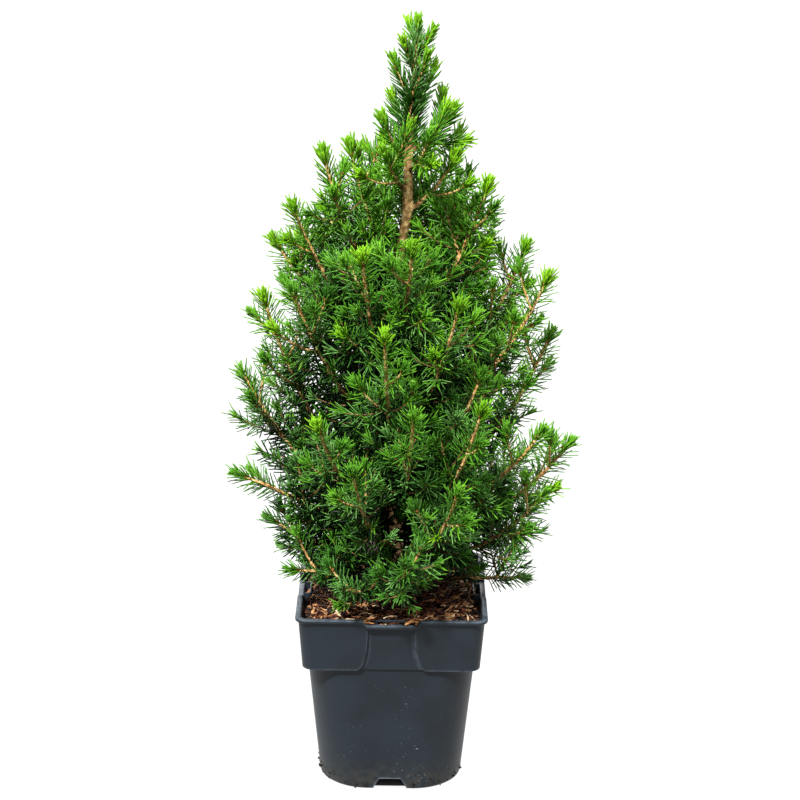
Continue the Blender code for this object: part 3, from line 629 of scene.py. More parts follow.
def bed_height(x, y):
    """A low cone from the wall to the trunk, two piles beside the front pocket, and three
    sizes of noise for the crumbs."""
    rise = 1 - np.maximum(np.abs(x), np.abs(y)) / BED_HALF
    height = MULCH_EDGE + (MULCH_TOP - MULCH_EDGE) * smooth_step(rise * BED_STEEPER)
    for pile_x, pile_y in PILES:
        away = ((x - pile_x) ** 2 + (y - pile_y) ** 2) / PILE_WIDTH**2
        height = height + PILE_HEIGHT * np.exp(-away)
    for size, tall, seed in lumps:
        noise = lattice_noise(x / size, y / size, np.random.default_rng(seed), LATTICE)
        height = height + tall * noise
    return height


def make_bed():
    """A square grid (u, v) pulled in at its corners by a factor 1 - k(uv)^8, raised by
    bed_height. A skirt and one face close it underneath."""
    count = 2 * round(BED_HALF / BED_STEP) + 1
    u, v = np.meshgrid(np.linspace(-1, 1, count), np.linspace(-1, 1, count), indexing="ij")
    pull = BED_HALF * (1 - BED_CORNER_PULL * (u * v) ** 8)
    x, y = u * pull, v * pull
    top = np.stack([x, y, bed_height(x, y)], axis=-1).reshape(-1, 3)
    index = np.arange(count * count).reshape(count, count)
    quads = np.stack([index[:-1, :-1], index[1:, :-1], index[1:, 1:], index[:-1, 1:]], axis=-1)
    border = np.concatenate([index[:-1, 0], index[-1, :-1], index[:0:-1, -1], index[0, :0:-1]])
    skirt = top[border] * (1, 1, 0) + (0, 0, MULCH_EDGE - BED_SKIRT)
    below = len(top) + np.arange(len(border))
    turn = np.roll(np.arange(len(border)), -1)
    walls = np.stack([border, below, below[turn], border[turn]], axis=1)
    make_piece(
        "mulch_bed", np.concatenate([top, skirt]), quads.reshape(-1, 4), walls, below[None, ::-1],
        slot="bark_mulch", finish=BED_FINISH, stands_for=["mulch"],
    )


make_bed()

# %% Chips
CHIPS = {"dark": 430, "red": 300, "tan": 200, "straw": 40}
CHIP_LENGTH = (0.005, 0.014)
CHIP_WIDTH = (0.0012, 0.0036)
CHIP_THICK = (0.0004, 0.0011)
CHIP_PITCH, CHIP_ROLL = 0.20, 0.35  # radians, as typical values
CHIP_TAPER, CHIP_BEND = 0.55, 0.15  # shares of the width and of half the length
CHIP_RAGGED = (0.75, 1.25)
CHIP_PILE = 0.0016  # chips lie up to this far above the bed
CHIP_STATIONS = np.array([-1.0, 0.0, 1.0])
CHIP_FACES = np.concatenate([ring_quads(3, 4), [[3, 2, 1, 0], [8, 9, 10, 11]]])
WALL_GAP, TRUNK_GAP, TRUNK_PLACE = 0.002, 0.0065, 0.003
ON_PILES, ON_PILE_SPREAD = 0.05, 0.0035


def scatter(count):
    """Places on the bed, clear of the trunk, with a height just above the bed's surface. One
    in twenty lies on the piles beside the front pocket."""
    span = BED_HALF - WALL_GAP
    xy = mulch_rng.uniform(-span, span, (4 * count, 2))
    xy = xy[np.hypot(xy[:, 0] - TRUNK_PLACE, xy[:, 1]) > TRUNK_GAP][:count]
    on_pile = mulch_rng.random(count) < ON_PILES
    pile = np.array(PILES)[mulch_rng.integers(len(PILES), size=count)]
    xy = np.where(on_pile[:, None], pile + mulch_rng.normal(0, ON_PILE_SPREAD, (count, 2)), xy)
    xy = np.clip(xy, -span, span)
    height = bed_height(xy[:, 0], xy[:, 1]) + mulch_rng.uniform(0, CHIP_PILE, count)
    return np.concatenate([xy, height[:, None]], axis=1)


def chip_points(count):
    """Thin bent slabs: three stations of four corners each, tapered to both ends, with every
    corner moved at random so that no two edges are parallel."""
    length, wide, thick = [
        mulch_rng.uniform(*limits, count)[:, None, None] / 2
        for limits in (CHIP_LENGTH, CHIP_WIDTH, CHIP_THICK)
    ]
    yaw = mulch_rng.uniform(0, 2 * math.pi, count)
    pitch = mulch_rng.normal(0, CHIP_PITCH, count)
    roll = mulch_rng.normal(0, CHIP_ROLL, count)[:, None, None]
    station = CHIP_STATIONS[None, :, None]
    corner_side, corner_up = np.array([-1, 1, 1, -1]), np.array([-1, -1, 1, 1])
    taper = 1 - CHIP_TAPER * np.abs(station) * mulch_rng.random((count, 3, 1))
    ragged = mulch_rng.uniform(*CHIP_RAGGED, (count, 3, 4))
    bend = length * CHIP_BEND * (station**2) * mulch_rng.normal(0, 1, (count, 1, 1))
    along = length * station * ragged
    flat, tall = wide * taper * corner_side * ragged, thick * corner_up * ragged + bend
    across = flat * np.cos(roll) - tall * np.sin(roll)
    up = flat * np.sin(roll) + tall * np.cos(roll)
    level_way = np.stack([np.cos(yaw), np.sin(yaw), 0 * yaw], axis=1)
    ways = level_way * np.cos(pitch)[:, None] + np.sin(pitch)[:, None] * np.array([0.0, 0.0, 1.0])
    sides = np.stack([-np.sin(yaw), np.cos(yaw), 0 * yaw], axis=1)
    points = scatter(count)[:, None, None]
    for distance, way in ((along, ways), (across, sides), (up, np.cross(ways, sides))):
        points = points + distance[..., None] * way[:, None, None]
    return points.reshape(count, 12, 3)


# %% Fibres
FIBRES = {"dark": 420, "red": 380, "tan": 300, "straw": 110}
FIBRE_LENGTH = (0.007, 0.026)
FIBRE_WIDTH = (0.0005, 0.0016)
FIBRE_STATIONS = 7
SHRED_GAP = 0.0003  # between a chip or a fibre and the pot's wall
FIBRE_CURL = 2.0  # radians that a fibre turns through from end to end, as a typical value
FIBRE_ARCH, FIBRE_TILT = (-0.02, 0.12), 0.10  # shares of the length
FIBRE_TAPER, FIBRE_FLAT = 0.75, 0.8


def fibre_points(count):
    """Curled threads with three corners at each station. The heading turns evenly, so the
    middle line is the running sum of cos and sin of the heading, and it arches upwards."""
    share = np.linspace(0, 1, FIBRE_STATIONS)[None, :]
    length = mulch_rng.uniform(*FIBRE_LENGTH, count)[:, None]
    heading = mulch_rng.uniform(0, 2 * math.pi, count)[:, None]
    heading = heading + mulch_rng.normal(0, FIBRE_CURL, count)[:, None] * share
    step = length / FIBRE_STATIONS
    x = np.cumsum(np.cos(heading) * step, axis=1)
    y = np.cumsum(np.sin(heading) * step, axis=1)
    arch = mulch_rng.uniform(*FIBRE_ARCH, count)[:, None] * length * np.sin(math.pi * share)
    tilt = mulch_rng.normal(0, FIBRE_TILT, count)[:, None] * length * (share - 0.5)
    x, y = x - x.mean(1, keepdims=True), y - y.mean(1, keepdims=True)
    middle = np.stack([x, y, arch + tilt], axis=-1) + scatter(count)[:, None]
    sides = np.stack([-np.sin(heading), np.cos(heading), 0 * heading], axis=-1)
    taper = 1 - FIBRE_TAPER * np.abs(2 * share - 1) ** 3
    radius = mulch_rng.uniform(*FIBRE_WIDTH, count)[:, None] / 2 * taper
    corners = []
    for angle in 2 * math.pi * np.arange(3) / 3:
        offset = math.cos(angle) * sides + math.sin(angle) * np.array([0, 0, FIBRE_FLAT])
        corners.append(middle + radius[..., None] * offset)
    return np.stack(corners, axis=2).reshape(count, FIBRE_STATIONS * 3, 3)


def make_shreds(name):
    """Chips and fibres of one colour, kept inside the pot's wall."""
    reach = BED_HALF - SHRED_GAP
    chips = chip_points(CHIPS[name])
    fibres = fibre_points(FIBRES[name])
    points = np.concatenate([chips.reshape(-1, 3), fibres.reshape(-1, 3)])
    points[:, :2] = np.clip(points[:, :2], -reach, reach)
    last = 3 * (FIBRE_STATIONS - 1)
    fibre_ends = np.array([[2, 1, 0], [last, last + 1, last + 2]])
    fibre_faces = [12 * len(chips) + copies(faces, 3 * FIBRE_STATIONS, len(fibres))
                   for faces in (ring_quads(FIBRE_STATIONS, 3), fibre_ends)]
    make_piece(
        "mulch_" + name, points, copies(CHIP_FACES, 12, len(chips)), *fibre_faces,
        slot="bark_mulch", finish=shredded_bark(name, MULCH_COLOURS[name]), smooth=False,
    )


for colour_name in MULCH_COLOURS:
    make_shreds(colour_name)

# %% Pieces that lie where they fell
# The straw beside the left wall, and the chips caught on the lip at both ends of the front dip:
# x, y, z in metres, yaw and pitch in degrees, length, width and thickness in metres
SLAB_TAPER, SLAB_BEND = 0.5, 0.1
LAID = (
    (-0.0375, -0.0400, 0.1292, -62, -8, 0.0125, 0.0017, 0.0009),
    (-0.0175, -0.0612, 0.1318, 52, 14, 0.0072, 0.0022, 0.0008),
    (-0.0158, -0.0622, 0.1306, -14, 4, 0.0082, 0.0018, 0.0007),
    (-0.0148, -0.0590, 0.1322, 24, 10, 0.0070, 0.0024, 0.0008),
    (0.0140, -0.0616, 0.1313, 8, 6, 0.0100, 0.0026, 0.0009),
    (0.0165, -0.0600, 0.1324, -12, 8, 0.0090, 0.0016, 0.0008),
    (0.0118, -0.0622, 0.1304, 38, 0, 0.0068, 0.0016, 0.0007),
    (0.0172, -0.0618, 0.1310, 66, 10, 0.0060, 0.0018, 0.0007),
)


def slab(x, y, z, yaw, pitch, length, width, thick):
    """Three stations of four corners, narrow at both ends and bent up a little in between."""
    yaw, pitch = math.radians(yaw), math.radians(pitch)
    side = np.array([-math.sin(yaw), math.cos(yaw), 0])
    way = math.cos(pitch) * np.array([math.cos(yaw), math.sin(yaw), 0]) + (0, 0, math.sin(pitch))
    up = np.cross(way, side)
    station = np.repeat(CHIP_STATIONS, 4)[:, None]
    corner = np.tile([(-1, -1), (1, -1), (1, 1), (-1, 1)], (3, 1))
    narrow = 1 - SLAB_TAPER * np.abs(station) * mulch_rng.random((12, 1))
    return ((x, y, z) + station * way * length / 2 + corner[:, :1] * narrow * side * width / 2
            + (corner[:, 1:] * thick / 2 - SLAB_BEND * length * station**2) * up)


def lay(name, rows, colour):
    """One piece from the slabs in some rows, in one of the mulch's colours."""
    points = np.concatenate([slab(*row) for row in rows])
    make_piece(name, points, copies(CHIP_FACES, 12, len(rows)), slot="bark_mulch",
               finish=bpy.data.materials["shredded_bark_" + colour], smooth=False)


lay("straw_stick", LAID[:1], "straw")
lay("chips_on_the_lip", LAID[1:], "tan")

# %% Earth dried on round the foot
CRUMB_COUNT, CRUMB_SIZE = 150, (0.0005, 0.0014)
CRUMB_HEIGHTS, CRUMB_SPREAD = (0.0020, 0.0130), 0.0008
CRUMB_RAGGED = (0.6, 1.3)
CRUMB_ANYWHERE = 0.002  # the chance beside that at the corners
EARTH_FINISH = shredded_bark("earth", ("#0b0907", "#211a14"))


def earth_crumbs():
    """Octahedra with corners moved at random, half sunk in the wall and thickest at its
    corners, where a lifted pot drags: the chance grows as the fourth power of |x y|."""
    ring = outlines(level(0, BODY_FOOT_HALF, BODY_FOOT_CORNER)[None])[0, :, :2]
    chance = (np.abs(ring[:, 0] * ring[:, 1]) / BODY_FOOT_HALF**2) ** 4 + CRUMB_ANYWHERE
    place = ring[mulch_rng.choice(len(ring), CRUMB_COUNT, p=chance / chance.sum())]
    low, high = CRUMB_HEIGHTS
    height = low + (high - low) * mulch_rng.random((CRUMB_COUNT, 1)) ** 2
    place = place * (1 + BODY_FLARE * height / BODY_FOOT_HALF)
    middle = np.concatenate([place, height], axis=1)
    middle += mulch_rng.normal(0, CRUMB_SPREAD, (CRUMB_COUNT, 3)) * (1, 1, 0)
    size = mulch_rng.uniform(*CRUMB_SIZE, (CRUMB_COUNT, 1, 1))
    size = size * mulch_rng.uniform(*CRUMB_RAGGED, (CRUMB_COUNT, 6, 1))
    corners = np.array([(1, 0, 0), (0, 1, 0), (-1, 0, 0), (0, -1, 0), (0, 0, 1), (0, 0, -1)])
    faces = np.array([face for side in range(4) for face in
                      ((side, (side + 1) % 4, 4), ((side + 1) % 4, side, 5))])
    make_piece("earth_crumbs", middle[:, None] + size * corners, copies(faces, 6, CRUMB_COUNT),
               slot="bark_mulch", finish=EARTH_FINISH)


earth_crumbs()

# %% [markdown]
# ## How the plant grows
# The solids were grown by a rule, and the same rule is written again here, so that the fine
# shoots lie along the coarse ones. Each bough leaves the trunk and bends upwards. Side twigs
# stand round it, each turned 137.5 degrees from the last, which is the angle that packs shoots
# most evenly. A twig that would come too near another mass, the pot or a limb, or leave the
# crown, is cut back or left out. The rule is then carried one step further, to sprigs, which
# also stand on the bare limbs and on the trunk. They are longer at the back, and they leave an
# opening low on the front, through which the trunk's foot and the mulch show.

# %% The trunk's line
trunk_low, trunk_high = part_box("trunk")
TRUNK_FOOT, TRUNK_TIP = trunk_low.z, trunk_high.z
TRUNK_X, LOW_LEAN = 0.0030, -0.0135
KINK, KINK_FOOT, KINK_TOP = 0.0087, 0.3450, 0.4100
TOP_LEAN_FOOT, TOP_LEAN = 0.4400, 0.0794
TRUNK_RADII = (
    (TRUNK_FOOT, 0.0048), (0.400, 0.0034), (0.455, 0.0027), (0.474, 0.0017), (0.530, 0.0008),
)
FLARE, FLARE_FADE = 0.0032, 0.0080
CROWN = (  # height and reach
    (0.132, 0.060), (0.142, 0.090), (0.175, 0.100), (0.210, 0.110), (0.240, 0.113),
    (0.280, 0.108), (0.320, 0.098), (0.360, 0.088), (0.400, 0.070), (0.430, 0.050),
    (0.450, 0.034), (0.480, 0.022), (0.510, 0.012), (0.530, 0.006),
)


def trunk_axis(height):
    """The trunk's middle at each height: upright, then a smooth sideways step, then a lean."""
    height = np.asarray(height, float)
    kink = KINK * smooth_step((height - KINK_FOOT) / (KINK_TOP - KINK_FOOT))
    lean = LOW_LEAN * (height - TRUNK_FOOT) + TOP_LEAN * np.maximum(0.0, height - TOP_LEAN_FOOT)
    return np.stack([TRUNK_X + kink + lean, 0 * height, height], axis=-1)


def trunk_flare(height):
    """What the root flare adds to the radius: it fades by e for each 8 mm of height."""
    return FLARE * np.exp((TRUNK_FOOT - height) / FLARE_FADE)


def trunk_radius(height):
    """A taper read from the table, and the root flare."""
    return np.interp(height, *zip(*TRUNK_RADII)) + trunk_flare(height)


def outward(azimuth):
    """The level direction away from the trunk at an azimuth in degrees, 0 to the right."""
    angle = math.radians(azimuth)
    return np.array([math.cos(angle), math.sin(angle), 0.0])


print(f"trunk from {1000 * TRUNK_FOOT:.1f} to {1000 * TRUNK_TIP:.1f} mm")

# %% Where the boughs stand
# name, azimuth in degrees, height on the trunk, reach, height of the tip, rise, twigs, bare share
BOUGHS = (
    ("top_right", 0, 0.440, 0.028, 0.464, 0.35, 2, 0),
    ("top_left", -160, 0.436, 0.017, 0.459, 0.35, 0, 0),
    ("top_front_right", -62, 0.427, 0.029, 0.454, 0.35, 2, 0),
    ("top_front_left", -128, 0.414, 0.025, 0.441, 0.35, 2, 0),
    ("top_back", 80, 0.424, 0.024, 0.455, 0.35, 1, 0),
    ("neck_right", -17, 0.402, 0.031, 0.436, 0.35, 2, 0),
    ("neck_back", 105, 0.396, 0.034, 0.430, 0.35, 2, 0),
    ("high_left_1", -176, 0.338, 0.048, 0.436, 0.30, 4, 0),
    ("high_left_2", 158, 0.366, 0.035, 0.438, 0.30, 2, 0),
    ("high_right_1", -10, 0.316, 0.060, 0.418, 0.30, 4, 0),
    ("high_right_2", 30, 0.352, 0.040, 0.397, 0.30, 3, 0),
    ("high_right_3", 14, 0.306, 0.063, 0.374, 0.30, 4, 0),
    ("high_front_1", -112, 0.270, 0.060, 0.380, 0.30, 4, 0),
    ("high_front_2", -82, 0.304, 0.070, 0.389, 0.30, 4, 0),
    ("middle_left_1", -170, 0.296, 0.069, 0.402, 0.40, 4, 0),
    ("middle_left_2", 168, 0.306, 0.083, 0.372, 0.35, 4, 0),
    ("middle_left_3", -156, 0.238, 0.075, 0.351, 0.35, 4, 0.45),
    ("middle_left_4", -177, 0.186, 0.090, 0.339, 0.30, 4, 0.45),
    ("middle_right_1", 8, 0.250, 0.086, 0.371, 0.30, 4, 0.40),
    ("middle_right_2", -8, 0.236, 0.100, 0.357, 0.30, 4, 0.42),
    ("middle_front_1", -56, 0.244, 0.071, 0.349, 0.30, 4, 0),
    ("middle_front_2", -95, 0.216, 0.092, 0.337, 0.30, 4, 0),
    ("middle_front_3", -38, 0.206, 0.070, 0.298, 0.30, 4, 0),
    ("low_left_1", 171, 0.180, 0.107, 0.280, 0.25, 4, 0.42),
    ("low_left_2", -170, 0.162, 0.108, 0.219, 0.70, 4, 0),
    ("low_front_1", -124, 0.180, 0.092, 0.272, 0.30, 4, 0),
    ("low_front_2", -106, 0.160, 0.104, 0.250, 0.25, 4, 0),
    ("low_front_3", -84, 0.188, 0.102, 0.288, 0.28, 4, 0),
    ("low_right_1", -54, 0.170, 0.093, 0.284, 0.25, 4, 0),
    ("low_right_2", 4, 0.190, 0.103, 0.312, 0.25, 4, 0.42),
    ("low_right_3", -24, 0.176, 0.104, 0.259, 0.30, 4, 0),
    ("low_right_4", -3, 0.158, 0.116, 0.239, 0.25, 4, 0.42),
    ("low_right_5", -68, 0.150, 0.105, 0.236, 0.25, 4, 0),
    ("skirt_right_1", -15, 0.150, 0.102, 0.209, 0.15, 4, 0.42),
    ("skirt_right_2", 4, 0.138, 0.089, 0.137, 1.5, 4, 0),
    ("skirt_left_1", -173, 0.154, 0.086, 0.184, 0.20, 4, 0),
    ("skirt_left_2", -152, 0.145, 0.080, 0.158, 0.40, 4, 0),
    ("skirt_front_1", -86, 0.142, 0.098, 0.186, 0.30, 4, 0),
    ("skirt_front_2", -114, 0.136, 0.088, 0.163, 0.30, 4, 0),
)
BACK_COUNT, BACK_TWIGS = 8, 5
BACK_FOOT, BACK_CLIMB, BACK_SECTOR = (0.146, 0.317), (0.040, 0.082), (32, 148)
BACK_START, BACK_TURN, BACK_REACH, BACK_RISE = 0.5, 0.382, 0.96, 0.28


def back_boughs():
    """The far side's boughs, spaced by a fixed turn as they climb."""
    boughs = []
    for number in range(BACK_COUNT):
        share = number / (BACK_COUNT - 1)
        sideways = (BACK_START + number * BACK_TURN) % 1
        azimuth = BACK_SECTOR[0] + (BACK_SECTOR[1] - BACK_SECTOR[0]) * sideways
        foot = BACK_FOOT[0] + (BACK_FOOT[1] - BACK_FOOT[0]) * share
        tip = foot + BACK_CLIMB[0] + (BACK_CLIMB[1] - BACK_CLIMB[0]) * share**0.5
        reach = BACK_REACH * float(np.interp(tip, *zip(*CROWN)))
        boughs.append((f"back_{number + 1}", azimuth, foot, reach, tip, BACK_RISE, BACK_TWIGS, 0))
    return boughs


all_boughs = (*BOUGHS, *back_boughs())
print(f"{len(all_boughs)} boughs and the leader, for {len(masses)} masses")

# %% Paths
CLEAR = 0.0003  # gap between a bough and the trunk
SEAT_RISE = 0.0038
BOUGH_BEND = 0.62
PATH_POINTS = 60
SAMPLE = 0.002


def bough_path(azimuth, foot, reach, tip_height, rise):
    """A quadratic curve from the trunk's face to the tip, whose middle control point stands
    62% of the way out and `rise` of the way up."""
    axis, out = trunk_axis(foot), outward(azimuth)
    lean = max(abs((trunk_axis(foot + step) - axis).dot(out)) for step in (-SEAT_RISE, SEAT_RISE))
    start = axis + out * (trunk_radius(foot) + CLEAR + lean)
    tip = axis + out * reach
    tip[2] = tip_height
    bend = start + (tip - start) * (BOUGH_BEND, BOUGH_BEND, rise)
    share = np.linspace(0, 1, PATH_POINTS)[:, None]
    return (1 - share) ** 2 * start + 2 * share * (1 - share) * bend + share**2 * tip


def resample(path, spacing, least=2):
    """Points at equal distances along a path, its two ends among them."""
    steps = np.linalg.norm(np.diff(path, axis=0), axis=1)
    run = np.concatenate([[0.0], np.cumsum(steps)])
    places = np.linspace(0, run[-1], max(least, round(run[-1] / spacing) + 1))
    return np.stack([np.interp(places, run, path[:, axis]) for axis in range(3)], axis=1)


def side_ways(path):
    """For each point of a path: its direction, and two directions square to it that turn with
    the path, so that nothing twists."""
    ways = unit(np.gradient(path, axis=0))
    start = np.array([0.0, 0.0, 1.0]) if abs(ways[0][2]) < 0.9 else np.array([1.0, 0.0, 0.0])
    first = unit(np.cross(start, ways[0]))
    firsts = np.empty_like(ways)
    for index, way in enumerate(ways):
        first = first - way * first.dot(way)
        first /= math.sqrt(first.dot(first))
        firsts[index] = first
    return ways, firsts, np.cross(ways, firsts)


# %% A shoot, and the space that shoots share
ROOT_FREE = 0.0100
TWIG_RADIUS = 0.0015
BUD = 0.0080
POT_TOP_CLEAR = 0.0016
POT_SIDE_CLEAR = 0.0670
TWIG_RISE = 0.35
TWIG_TURN = math.radians(137.5)


class Shoot:
    """One stem: points every 2 mm with their directions, its mass, its order (0 a main stem,
    1 a twig, 2 a sprig), how far its foot is bare, and how much more stem follows beyond its
    end, which only a limb or the trunk has. Its number is its place in the list of shoots."""

    def __init__(self, mass, path, order, bare=0.0, beyond=0.0):
        self.mass, self.order, self.bare, self.beyond = mass, order, bare, beyond
        self.on_limb = beyond > 0
        self.number = -1
        self.samples = resample(path, SAMPLE)
        self.ways, self.firsts, self.seconds = side_ways(self.samples)
        self.run = np.linspace(0, SAMPLE * (len(self.samples) - 1), len(self.samples))
        self.length = float(self.run[-1])

    def at(self, run):
        """Places, directions and the two directions aside, at distances from the foot."""
        return [
            np.stack([np.interp(run, self.run, part[:, axis]) for axis in range(3)], axis=1)
            for part in (self.samples, self.ways, self.firsts, self.seconds)
        ]


class Space:
    """What stands where: every shoot's points with its mass and number, and the limbs'."""

    def __init__(self):
        self.shoots = []
        self.points = np.empty((0, 3))
        self.masses = np.empty(0, int)
        self.owners = np.empty(0, int)
        self.limb_points = np.empty((0, 3))
        self.limb_radii = np.empty(0)

    def add(self, shoot):
        count = len(shoot.samples)
        self.points = np.concatenate([self.points, shoot.samples])
        self.masses = np.concatenate([self.masses, np.full(count, shoot.mass)])
        self.owners = np.concatenate([self.owners, np.full(count, len(self.shoots))])
        shoot.number = len(self.shoots)
        self.shoots.append(shoot)

    def add_limb(self, points, radii):
        self.limb_points = np.concatenate([self.limb_points, points])
        self.limb_radii = np.concatenate([self.limb_radii, radii])

    def room(self, path, stem, rule):
        """How many of a twig's points, counted from its root, may stay: each keeps its
        distance from other masses, limbs and twigs, above the pot and inside the crown."""
        away = distances(path, self.points)
        limb_gap = (distances(path, self.limb_points) - self.limb_radii).min(axis=1)
        foreign = self.masses != stem.mass
        own = ~foreign & (self.owners != stem.number)
        rooted = np.arange(len(path)) < round(rule["root_free"] / SAMPLE)
        fits = away[:, foreign].min(axis=1, initial=1.0) > rule["mass_apart"]
        fits &= (limb_gap > rule["limb_apart"]) | (rooted & stem.on_limb)
        fits &= clear_of_pot(path - (0, 0, 2 * TWIG_RADIUS))
        out = np.linalg.norm((path - trunk_axis(path[:, 2]))[:, :2], axis=1)
        fits &= out <= np.interp(path[:, 2], *zip(*CROWN))
        if rule["order"] > 1:
            over_mulch = np.abs(path[:, :2]).max(axis=1) < POT_SIDE_CLEAR
            fits &= ~in_opening(path) & ~(over_mulch & (path[:, 2] < SPRIG_LOWEST))
        near_own = away[:, own].min(axis=1, initial=1.0) < rule["twig_apart"]
        fits &= ~near_own | rooted
        count = len(path) if fits.all() else int(np.argmin(fits))
        if rule["bud_apart"]:
            buds = path + BUD * unit(np.gradient(path, axis=0))
            bud_gap = distances(buds, self.points[foreign]).min(axis=1, initial=1.0)
            limb_gap = (distances(buds, self.limb_points) - self.limb_radii).min(axis=1)
            bud_fits = np.minimum(bud_gap, limb_gap) > rule["bud_apart"]
            while count and not bud_fits[count - 1]:
                count -= 1
        return count


def distances(first, second):
    """Every distance between two sets of points."""
    return np.linalg.norm(first[:, None] - second[None], axis=2)


def clear_of_pot(points):
    """True above the lip, or outside the pot as seen from above."""
    outside = np.abs(points[:, :2]).max(axis=1) > POT_SIDE_CLEAR
    return outside | (points[:, 2] > POT_HEIGHT + POT_TOP_CLEAR)


# %% Twigs
# How each order of twig grows: from where to where on its stem, how long, how far apart
TWIGS = {
    "first": 0.12, "last": 0.84, "longest": 0.040, "shortest": 0.016, "lean": math.radians(50),
    "tries": 6, "spread": (0.85, 1.15), "mass_apart": 0.0080, "twig_apart": 0.0070,
    "limb_apart": 0.0032, "bud_apart": 0.0045, "root_free": ROOT_FREE, "order": 1,
}
LEADER_TWIGS = {**TWIGS, "longest": 0.026, "shortest": 0.013, "lean": math.radians(38)}
SPRIGS = {
    "first": 0.04, "last": 0.75, "longest": 0.032, "shortest": 0.008, "lean": math.radians(58),
    "tries": 6, "spread": (0.7, 1.2), "mass_apart": 0.0050, "twig_apart": 0.0046,
    "limb_apart": 0.0024, "bud_apart": 0, "root_free": 0.0060, "order": 2,
}
LIMB_SPRIGS = {**SPRIGS, "longest": 0.058, "shortest": 0.012, "mass_apart": 0.0042}
TRUNK_SPRIGS = {**SPRIGS, "first": 0.02, "last": 0.68, "longest": 0.075, "shortest": 0.014,
                "lean": math.radians(66), "limb_apart": 0.0012, "root_free": 0.0100}
SPRIG_EVERY = 0.0056
LIMB_SPRIGS_CLOSER = 0.5
TRUNK_SPRIG_COUNT = 165
SHADED = 0.64  # sprigs root only nearer to the trunk than this share of the crown's reach
# height and share of the reach: low on the right they root further out, and there they stand
# closer, at this share of the spacing
SPRIG_REACH = ((0.17, 0.92), (0.22, SHADED))
SPRIG_SPACING = ((0.17, 0.6), (0.22, 1.0))
SPRIG_TOP = 0.405  # the thin spire above has none
SPRIG_LOWEST = 0.1520  # and none hangs low over the mulch
BACK_FROM, BACK_SPRIG_REACH, BACK_SPRIGS_LONGER = 0.015, 0.85, 1.6
TOP_STARTS, TOP_FADE = 0.335, 0.065  # the height from which more and more of the crown is lit
OPENING = (0.0010, 0.1715)  # sideways place, and height at the trunk
OPENING_HALF = (0.0115, 0.0200)
OPENING_FROM, OPENING_CLIMB = -0.010, 0.37


def reach_share(points):
    """A point's distance from the trunk's line, over the crown's reach at that height."""
    out = np.linalg.norm((points - trunk_axis(points[..., 2]))[..., :2], axis=-1)
    return out / np.interp(points[..., 2], *zip(*CROWN))


def exposure(points):
    """How far out in the light a point is: its share of the reach, or more in the thin top,
    where everything is lit."""
    return np.maximum(reach_share(points), smooth_step((points[..., 2] - TOP_STARTS) / TOP_FADE))


def in_opening(points):
    """True in the gap between the low boughs through which the trunk's foot shows: an ellipse
    that climbs outwards, as the boughs beside it do."""
    x, y, z = points[..., 0], points[..., 1], points[..., 2]
    across = (x - OPENING[0]) / OPENING_HALF[0]
    up = (z + OPENING_CLIMB * y - OPENING[1]) / OPENING_HALF[1]
    return (across**2 + up**2 < 1) & (y < OPENING_FROM)


def twig_path(stem, share, turn, length, lean):
    """A side twig: root + length (s way + s^2 rise), so it leaves at an angle and bends up."""
    index = round(share * (len(stem.samples) - 1))
    aside = math.cos(turn) * stem.firsts[index] + math.sin(turn) * stem.seconds[index]
    way = math.cos(lean) * stem.ways[index] + math.sin(lean) * aside
    run = np.linspace(0, 1, round(length / SAMPLE) + 1)[:, None]
    return stem.samples[index] + length * (run * way + run**2 * np.array([0, 0, TWIG_RISE]))


def sprig_can_root(root):
    """True inside the crown's shade, which reaches further out low on the right and at the
    back, and neither in the spire nor in the opening."""
    widest = np.interp(root[2], *zip(*SPRIG_REACH)) if root[0] > 0 else SHADED
    widest = max(widest, BACK_SPRIG_REACH) if root[1] > BACK_FROM else widest
    return reach_share(root) <= widest and root[2] <= SPRIG_TOP and not in_opening(root)


def grow_twigs(space, stem, count, rule, rng):
    """Side twigs up one stem, shorter towards its tip."""
    turn = rng.uniform(0, 2 * math.pi)
    for number in range(count):
        share = rule["first"] + (rule["last"] - rule["first"]) * (number + 0.5) / count
        root = stem.samples[round(share * (len(stem.samples) - 1))]
        sprig = rule["order"] > 1
        if sprig and not sprig_can_root(root):
            continue
        spread = rng.uniform(*rule["spread"])
        length = rule["shortest"] + (rule["longest"] - rule["shortest"]) * (1 - share) * spread
        length *= BACK_SPRIGS_LONGER if sprig and root[1] > BACK_FROM else 1
        for _ in range(rule["tries"]):
            turn += TWIG_TURN
            path = twig_path(stem, share, turn, length, rule["lean"])
            path = path[: space.room(path, stem, rule)]
            if len(path) * SAMPLE >= rule["shortest"]:
                space.add(Shoot(stem.mass, path, rule["order"]))
                break


# %% The crown
SEED = 41
LIMB_FOOT_RADIUS, STEM_RADIUS = 0.0021, 0.0019
BARE_FOOT = 0.005
LEADER_TIP, LEADER_TWIG_COUNT = 0.5305, 7


